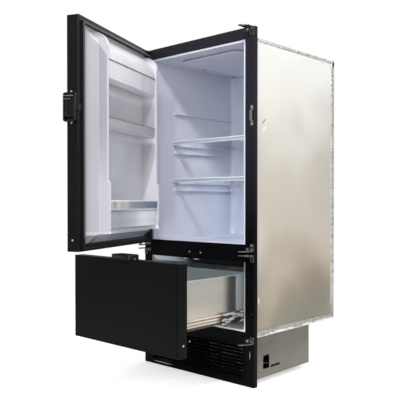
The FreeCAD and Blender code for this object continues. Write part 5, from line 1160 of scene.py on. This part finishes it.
@dataclass(frozen=True)
class Tray:
    """A door bin: a rounded tray with a rolled rim, in the shut door's place."""

    front: float
    low: float
    high: float
    corner: float = 0.010
    bulge: float = 0.0008
    back: float = DOOR_BACK + 0.001
    half: float = 0.19
    wall: float = 0.0025
    steps: int = 6

    def build(self, name: str, node: str) -> None:
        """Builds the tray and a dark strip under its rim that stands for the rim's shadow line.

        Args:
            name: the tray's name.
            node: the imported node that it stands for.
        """
        deep = (self.front - self.back) / 2
        shape = Moulding()

        def level(inset: float, z: float) -> list[Any]:
            """Adds the outline at one height and returns it."""
            place = Matrix.Translation((0.0, (self.back + self.front) / 2, z))
            return shape.outline((self.half - inset, deep - inset), max(self.corner - inset, 0.001), place, 6)

        low, high, wall = self.low, self.high, self.wall
        outer = [level(0.0045, low), level(0.0022, low + 0.0009), level(0.0008, low + 0.0024)]
        for step in range(1, self.steps):
            share = step / self.steps
            inset = self.bulge * (1 - math.sin(math.pi * share)) + 0.0003
            outer.append(level(inset, low + (high - low) * share))
        outer += [level(0.0003, high - 0.0030), level(0.0, high - 0.0008), level(0.0008, high)]
        inner = [level(wall, high - 0.0002), level(wall + 0.0006, high - 0.0012),
                 level(wall + 0.0010, low + wall + 0.0040), level(wall + 0.0030, low + wall)]
        shape.skin(outer + inner)
        shape.cap(outer[0])
        shape.cap(inner[-1])
        tray = shape.finish(name, Body.DOOR, BIN_PLASTIC, DOOR_SWING)
        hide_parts(node)
        # A dark strip under the rim: a painted shadow line.
        rim = Moulding()
        rim.block((-self.half + 0.001, self.front - 0.0006, high - 0.0028),
                  (self.half - 0.001, self.front + 0.0005, high - 0.0010))
        rim.soften(0.0003)
        rim.finish(name + "_line", Body.DOOR, FIXING_GREY_AND_SHADOW, DOOR_SWING)


@dataclass(frozen=True)
class Latch:
    """A flush paddle latch: a rounded housing with two screw feet, and a sprung paddle inside it."""

    toe: float
    half_ahead: float = 0.0240
    half_along: float = 0.0460
    ahead: float = -0.0330
    rise: float = 0.0166
    rim: float = 0.0050
    hub: float = 0.0052
    hub_long: float = 0.0760

    def build(self, name: str, bodies: tuple[Body, Body], place: Matrix) -> None:
        """Builds the housing and the paddle.

        Args:
            name: the first part of the pieces' names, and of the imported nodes' names.
            bodies: the housing's body and the paddle's.
            place: puts out-of-edge, ahead and along into the frame's own axes.
        """
        rise, rim = self.rise, self.rim
        stand = place @ Matrix.Translation((0.0, self.ahead, 0.0)) @ Matrix.Rotation(
            QUARTER, 4, "Z") @ Matrix.Rotation(QUARTER, 4, "X")
        shape = Moulding()
        shape.sweep((self.half_ahead, self.half_along), 0.0075, (
            (0.0, 0.0), (0.0, rise - 0.0030), (0.0007, rise - 0.0010), (0.0020, rise), (rim - 0.0014, rise),
            (rim - 0.0004, rise - 0.0008), (rim, rise - 0.0024), (rim + 0.0006, 0.0024)))
        shape.close()
        for way in (-1, 1):
            shape.block((-0.0080, way * 0.0440 - 0.0010, 0.0), (0.0080, way * 0.0530 + 0.0010, 0.0020))
        housing = shape.finish(name + "_case", bodies[0], LATCH_PLASTIC, stand)
        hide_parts(name + "_housing")
        self.paddle(name, bodies[1], place, stand)

    def paddle(self, name: str, body: Body, place: Matrix, stand: Matrix) -> None:
        """Builds the paddle with its ledge, hub and hook.

        Args:
            name: the first part of its name.
            body: its body.
            place: the latch's place.
            stand: the place of the latch's outline.
        """
        rise = self.rise
        shape = Moulding()
        shape.sweep((self.half_ahead - 0.0062, self.half_along - 0.0140), 0.0030, (
            (0.0, rise - 0.0058), (0.0, rise - 0.0034), (0.0006, rise - 0.0024), (0.0028, rise - 0.0024),
            (0.0036, rise - 0.0034), (0.0040, rise - 0.0060)), 4)
        shape.close()
        shape.block((-0.0170, 0.0345, rise - 0.0058), (0.0170, 0.0385, rise - 0.0026))
        axle = Matrix.Translation((0.0170, 0.0, 0.0085)) @ Matrix.Rotation(QUARTER, 4, "X")
        bmesh.ops.create_cone(shape.bm, cap_ends=True, segments=32, radius1=self.hub, radius2=self.hub,
                              depth=self.hub_long, matrix=axle)
        bmesh.ops.transform(shape.bm, matrix=stand, verts=shape.bm.verts)
        hook = [*shape.block((0.0078, -0.0160, -0.0120), (0.0140, -0.0039, 0.0120)),
                *shape.block((0.0090 - self.toe, -0.0059, -0.0118), (0.0138, -0.0040, 0.0118))]
        bmesh.ops.transform(shape.bm, matrix=place, verts=hook)
        piece = shape.finish(name + "_paddle", body, LATCH_PLASTIC)
        modify(piece, "soft_edges", "BEVEL", width=0.0004, segments=2, limit_method="ANGLE")
        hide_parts(name + "_lever")


@dataclass
class Assembly:
    """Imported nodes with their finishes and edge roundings, and the pieces added to them."""

    nodes: ClassVar[tuple[tuple[str, Any, float], ...]] = ()

    def build(self) -> None:
        """Dresses the nodes and adds the pieces."""
        for name, finish, edge in self.nodes:
            dress(name, finish, edge)
        self.pieces()

    def pieces(self) -> None:
        """Adds the group's own pieces."""


@dataclass
class Cabinet(Assembly):
    """Frame, metal wrap, foil tape and the parts fixed to the frame."""

    nodes = (("face_frame", FRAME_PAINT, 0.0006), ("shell_wrap", CASING, 0.0), ("shell_back", CASING, 0.0),
             ("cabinet_foam", FOAM, 0.0), ("hinge_brackets", BRACKET_PAINT, 0.0),
             ("drawer_striker", BLACK_PAINT, 0.0003), ("door_striker", ZINC, 0.0003),
             ("cabinet_screws", SCREWS, 0.0003), ("hinge_pins", DARK_STEEL, 0.0))
    half: float = 0.2622
    bottom: float = 0.1685
    top: float = 1.2188
    front: float = FACE + 0.0184
    back: float = FACE + 0.5497
    tape_wide: float = 0.024
    top_wide: float = 0.012
    tape_step: float = 0.005

    def pieces(self) -> None:
        """Lays the foil and adds the foam bead."""
        self.foil()
        self.foam_bead()

    def foil(self) -> None:
        """Lays crumpled strips over the lower and rear edges."""
        deep = (self.front + self.back) / 2
        long = self.back - self.front
        tall = self.top - self.bottom
        middle = (self.top + self.bottom) / 2
        edge = self.tape_wide
        flat = Matrix.Rotation(-QUARTER, 4, "X")
        strips = []
        for side in (-1, 1):
            turn = Matrix.Rotation(side * QUARTER, 4, "Y")
            wall = side * self.half
            strips += [((edge, long), (wall, deep, self.bottom + edge / 2), turn),
                       ((tall, edge), (wall, self.back - edge / 2, middle), turn),
                       ((edge, tall), (side * (self.half - edge / 2), self.back, middle), flat),
                       ((self.top_wide, long), (wall, deep, self.top - self.top_wide / 2), turn)]
        for z in (self.bottom + edge / 2, self.top - edge / 2):
            strips.append(((self.half * 2, edge), (0.0, self.back, z), flat))
        strips.append(((self.half * 2, edge), (0.0, self.back - edge / 2, self.top), Matrix.Identity(4)))
        shape = Moulding()
        for size, centre, turn in strips:
            self.strip(shape, size, Matrix.Translation(centre) @ turn)
        tape = shape.finish("foil_edges", Body.CABINET, FOIL, turn=60.0)
        modify(tape, "foil", "SOLIDIFY", thickness=0.0004, offset=1.0)
        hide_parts("edge_tape")

    def strip(self, shape: Moulding, size: Pair, place: Matrix) -> None:
        """Adds one crumpled strip.

        Args:
            shape: the mesh that it goes into.
            size: its two sides.
            place: where its centre goes, with its own up outwards.
        """
        counts = [max(3, round(side / self.tape_step)) for side in size]
        made = bmesh.ops.create_grid(shape.bm, x_segments=counts[0], y_segments=counts[1], size=0.5,
                                     matrix=Matrix.Diagonal((size[0], size[1], 1.0, 1.0)))
        bmesh.ops.transform(shape.bm, matrix=place, verts=made["verts"])
        outward = (place.to_3x3() @ Vector((0.0, 0.0, 1.0))).normalized()
        for vert in made["verts"]:
            spot = Vector((vert.co.x, vert.co.y * 0.45, vert.co.z))
            crumple = noise.noise(spot * 90.0) * 0.5 + abs(noise.noise(spot * 210.0)) * 0.5
            vert.co += outward * (0.0004 + 0.0009 * max(0.0, crumple + 0.3))

    def foam_bead(self) -> None:
        """Adds the bead of foam squeezed out behind the frame."""
        shape = Moulding()
        place = Matrix.Translation((self.half + 0.0010, self.front + 0.0250, 0.2960)) @ Matrix.Diagonal(
            (0.0034, 0.0062, 0.0125, 1.0))
        made = bmesh.ops.create_icosphere(shape.bm, subdivisions=4, radius=1.0, matrix=place)
        for vert in made["verts"]:
            vert.co += Vector((1.0, 0.3, 0.4)) * noise.noise(vert.co * 230.0) * 0.0020
        shape.finish("foam_bead", Body.CABINET, FOAM, turn=80.0)


@dataclass
class FridgeSpace(Assembly):
    """Liner, cooling plate, shelves and control housing of the fridge."""

    nodes = (("fridge_liner", FRIDGE_LINER, 0.0016), ("ceiling_plate", COLD_PLATE, 0.0005),
             ("ceiling_fixings", FIXING_GREY_AND_SHADOW, 0.0), ("shelf_trims", TRIM_PLASTIC, 0.0006),
             ("shelf_glass", GLASS, 0.0), ("control_housing", WHITE_PLASTIC, 0.0006),
             ("thermostat_knob", WHITE_PLASTIC, 0.0006),
             ("lamp_lens", LENS_PLASTIC, 0.0004))
    plate_half: Pair = (0.1518, 0.1868)
    plate_corner: float = 0.0378
    plate_middle: float = FACE + 0.253
    plate_low: float = 1.1970
    plate_high: float = 1.2047

    def pieces(self) -> None:
        """Adds the folded rim that closes the gap between the ceiling and its cooling plate."""
        shape = Moulding()
        shape.sweep(self.plate_half, self.plate_corner, ((0.0, self.plate_low), (0.0, self.plate_high)), 10)
        place = Matrix.Translation((0.0, self.plate_middle, 0.0))
        rim = shape.finish("plate_rim", Body.CABINET, GREY_PAINT, place)
        modify(rim, "sheet", "SOLIDIFY", thickness=0.0010, offset=-1.0)


@dataclass
class Door(Assembly):
    """Swing door with its moulding, seal, bins, bar and latch."""

    nodes = (("door_shell", DOOR_PAINT, 0.0005), ("door_foam", FOAM, 0.0),
             ("door_bushes", BLACK_PLASTIC, 0.0), ("door_liner", DOOR_LINER, 0.0022),
             ("bottle_bar", CHROME, 0.0004), ("door_screws", SCREWS, 0.0003))
    half: float = 0.19
    latch: Triple = (0.2782, FACE, 0.9445)
    cover_top: Pair = (DOOR_BACK + 0.0300, 1.1685)
    cover_bottom: Pair = (DOOR_BACK + 0.0560, 1.1128)
    cover_bulge: float = 0.0045

    def pieces(self) -> None:
        """Builds the latch, the seal, the bins, the bar's backing and the cover."""
        Latch(toe=0.0160).build("door_latch", (Body.DOOR, Body.DOOR_LATCH),
                                DOOR_SWING @ Matrix.Translation(self.latch))
        Gasket(half=0.259, low=0.491, high=1.222, width=0.010, start=DOOR_BACK, end=FACE - 0.0005,
               rubber=DOOR_GASKET).build("door_bellows", Body.DOOR, "door_seal", DOOR_SWING)
        Tray(DOOR_BACK + 0.056, 1.0485, 1.1115).build("upper_bin", "door_bin_upper")
        Tray(DOOR_BACK + 0.056, 0.8885, 0.9255).build("middle_bin", "door_bin_middle")
        Tray(DOOR_BACK + 0.062, 0.5575, 0.6165, corner=0.014, bulge=0.0030).build(
            "lower_bin", "door_bin_lower")
        self.bar_backing()
        self.cover()

    def cover(self) -> None:
        """Adds the curved cover that runs from the moulding's upper slope to the upper bin."""
        top, bottom = self.cover_top, self.cover_bottom
        shape = Moulding()
        made = bmesh.ops.create_grid(shape.bm, x_segments=4, y_segments=14, size=0.5)
        for vert in made["verts"]:
            share = vert.co.y + 0.5
            bulge = self.cover_bulge * math.sin(math.pi * share)
            vert.co = Vector((vert.co.x * (self.half * 2 - 0.001),
                              top[0] + (bottom[0] - top[0]) * share + bulge,
                              top[1] + (bottom[1] - top[1]) * share + bulge * 0.5))
        piece = shape.finish("upper_bin_cover", Body.DOOR, MILKY_COVER, DOOR_SWING)
        modify(piece, "sheet", "SOLIDIFY", thickness=0.0016, offset=-1.0)
        modify(piece, "soft_edges", "BEVEL", width=0.0004, segments=2, limit_method="ANGLE")

    def bar_backing(self) -> None:
        """Adds the white strip behind the chrome bar, seen above and below it."""
        shape = Moulding()
        shape.block((-self.half, DOOR_BACK + 0.0590, 0.6200), (self.half, DOOR_BACK + 0.0614, 0.6510))
        shape.soften(0.0008)
        shape.finish("bar_backing", Body.DOOR, WHITE_STRIP, DOOR_SWING)


@dataclass
class Drawer(Assembly):
    """Freezer drawer with its front, box, slides and latch."""

    nodes = (("drawer_front", BLACK_PAINT, 0.0004), ("drawer_foam", FOAM, 0.0),
             ("drawer_panel", DRAWER_LINER, 0.0008), ("drawer_box", DRAWER_SHEET, 0.0003),
             ("drawer_screws", SCREWS, 0.0003),
             ("slide_inner", RAIL_STEEL, 0.0003), ("slide_outer", RAIL_STEEL, 0.0003),
             ("slide_mid", DARK_STEEL, 0.0003), ("freezer_liner", FREEZER_LINER, 0.0012),
             ("freezer_plate", COLD_PLATE, 0.0005))
    latch: Triple = (0.0, FACE - DRAWER_OUT, 0.455)

    def pieces(self) -> None:
        """Builds the latch and the seal."""
        Latch(toe=0.0120).build("drawer_latch", (Body.DRAWER, Body.DRAWER_LATCH),
                                Matrix.Translation(self.latch) @ Matrix.Rotation(-QUARTER, 4, "Y"))
        Gasket(half=0.256, low=0.1695, high=0.446, width=0.012, start=DOOR_BACK - DRAWER_OUT,
               end=FACE - 0.0005 - DRAWER_OUT).build("drawer_bellows", Body.DRAWER, "drawer_seal")


@dataclass
class MachineSpace(Assembly):
    """Box under the cabinet with the grille, fan, condenser, compressor, pipes and wires."""

    nodes = (("machine_box", GALVANISED, 0.0003), ("base_tray", GALVANISED, 0.0),
             ("grille", GRILLE_PLASTIC, 0.0), ("compressor", BLACK_IRON, 0.0),
             ("compressor_grommets", RUBBER, 0.0), ("condenser", COLD_PLATE, 0.0),
             ("fan_frame", GRILLE_PLASTIC, 0.0004), ("fan_rotor", GRILLE_PLASTIC, 0.0004),
             ("control_unit", BLACK_PLASTIC, 0.0), ("suction_pipe", COPPER, 0.0), ("link_pipe", COPPER, 0.0),
             ("liquid_pipe", COPPER, 0.0), ("discharge_pipe", COPPER, 0.0),
             ("wire_connectors", WHITE_PLASTIC, 0.0006), ("red_wire", RED_COVER, 0.0),
             ("black_wire", BLACK_PLASTIC, 0.0))
    side: float = 0.2620
    hole_depth: float = -0.056
    hole_heights: Pair = (0.107, 0.1325)

    def pieces(self) -> None:
        """Adds the push-in plugs of the small side holes."""
        shape = Moulding()
        for way in (-1, 1):
            for height in self.hole_heights:
                place = Matrix.Translation((way * self.side, self.hole_depth, height)) @ Matrix.Rotation(
                    way * QUARTER, 4, "Y")
                bmesh.ops.create_cone(shape.bm, cap_ends=True, segments=24, radius1=0.0036, radius2=0.0022,
                                      depth=0.0014, matrix=place)
        shape.finish("hole_plugs", Body.CABINET, RUBBER)


@dataclass
class Studio:
    """Camera, floor, soft lamps and the pale surroundings."""

    lamps: ClassVar[tuple[tuple[str, Triple, float, float, Colour], ...]] = (
        ("key_lamp", (1.2, -1.7, 2.84), 0.35, 38.0, (1.0, 0.99, 0.975)),
        ("side_lamp", (3.4, 0.1, 2.3), 1.5, 55.0, (1.0, 0.99, 0.98)),
        ("fill_lamp", (-2.4, -2.6, 1.5), 2.2, 8.0, (0.95, 0.97, 1.0)),
        ("front_lamp", (1.6, -3.0, 1.2), 2.4, 46.0, (0.98, 0.99, 1.0)),
        ("rear_lamp", (-0.8, 2.8, 2.2), 1.8, 22.0, (1.0, 1.0, 1.0)))
    camera_place: Triple = (1.60865, -1.91229, 0.64680)
    camera_turn: Triple = (math.radians(89.315), 0.0, math.radians(42.818))
    lens: float = 56.473
    sensor: float = 36.0
    shift: Pair = (0.0010, 0.0230)
    middle: Vector = Vector((0.0, -0.1, 0.65))
    floor_radius: float = 6.0
    floor_fade: Pair = (0.9, 2.4)
    floor_glow: float = 0.46

    def build(self) -> None:
        """Builds the camera, the floor, the world and the lamps."""
        self.camera()
        self.floor()
        self.world()
        for lamp in self.lamps:
            self.lamp(*lamp)

    def camera(self) -> None:
        """Sets the camera where the photograph was taken from."""
        data = bpy.data.cameras.new("camera")
        data.lens = self.lens
        data.sensor_width = self.sensor
        data.shift_x, data.shift_y = self.shift
        camera = bpy.data.objects.new("camera", data)
        camera.location = self.camera_place
        camera.rotation_euler = self.camera_turn
        bpy.context.scene.collection.objects.link(camera)
        bpy.context.scene.camera = camera

    def floor(self) -> None:
        """Lays a round pale floor that fades out before it ends."""
        shape = Moulding()
        bmesh.ops.create_circle(shape.bm, cap_ends=True, radius=self.floor_radius, segments=96)
        mesh = bpy.data.meshes.new("floor")
        shape.bm.to_mesh(mesh)
        shape.bm.free()
        floor = bpy.data.objects.new("floor", mesh)
        bpy.context.scene.collection.objects.link(floor)
        mesh.materials.append(made_once("pale_floor", self.floor_shader))

    def floor_shader(self, sheet: NodeSheet) -> bpy.types.Node:
        """Adds the floor's nodes: pale paint that glows for the camera and ends in nothing.

        Args:
            sheet: the material's nodes.

        Returns:
            The shader.
        """
        away = sheet.add("VectorMath", {0: sheet.place()}, operation="LENGTH").outputs["Value"]
        tone = sheet.blend(sheet.cloud(220.0, 2.0), (0.86, 0.86, 0.86), (0.90, 0.90, 0.90))
        glow = sheet.product(sheet.add("LightPath").outputs["Is Camera Ray"], self.floor_glow)
        pale = sheet.add("BsdfPrincipled", {
            "Base Color": tone, "Roughness": 0.9, "Specular IOR Level": 0.0,
            "Emission Color": (1.0, 1.0, 1.0), "Emission Strength": glow})
        clear = sheet.add("BsdfTransparent")
        return sheet.add("MixShader", {0: sheet.ramp(away, *self.floor_fade), 1: pale.outputs[0],
                                       2: clear.outputs[0]})

    def world(self) -> None:
        """Gives a soft grey light, seen as white by the camera and through glass."""
        world = bpy.data.worlds.new("pale_room")
        bpy.context.scene.world = world
        world.use_nodes = True
        world.node_tree.nodes.clear()
        sheet = NodeSheet(world.node_tree)
        path = sheet.add("LightPath")
        seen = sheet.maths("MAXIMUM", path.outputs["Is Camera Ray"], path.outputs["Is Transmission Ray"])
        sky = sheet.ramp(sheet.axes(sheet.add("TexCoord").outputs["Generated"])[2], -0.25, 0.75, 0.32, 0.72)
        strength = sheet.maths("ADD", sheet.product(sky, sheet.maths("SUBTRACT", 1.0, seen)), seen)
        light = sheet.add("Background", {"Color": (1.0, 1.0, 1.0), "Strength": strength})
        sheet.add("OutputWorld", {"Surface": light.outputs[0]})

    def lamp(self, name: str, place: Triple, size: float, power: float, colour: Colour) -> None:
        """Hangs a square soft lamp that looks at the object.

        Args:
            name: the lamp's name.
            place: where it hangs.
            size: its side.
            power: its power in watts.
            colour: its light's colour.
        """
        data = bpy.data.lights.new(name, "AREA")
        data.size = size
        data.energy = power
        data.color = colour
        lamp = bpy.data.objects.new(name, data)
        lamp.location = place
        lamp.rotation_euler = (self.middle - Vector(place)).to_track_quat("-Z", "Y").to_euler()
        bpy.context.scene.collection.objects.link(lamp)


def main() -> None:
    """Builds the studio and each sub-assembly."""
    logging.basicConfig(level=logging.INFO, format="%(message)s")
    bpy.context.scene.view_settings.view_transform = "Standard"
    for part in (Studio(), Cabinet(), FridgeSpace(), Door(), Drawer(), MachineSpace()):
        LOG.info("building %s", type(part).__name__)
        part.build()


if __name__ == "__main__":
    main()
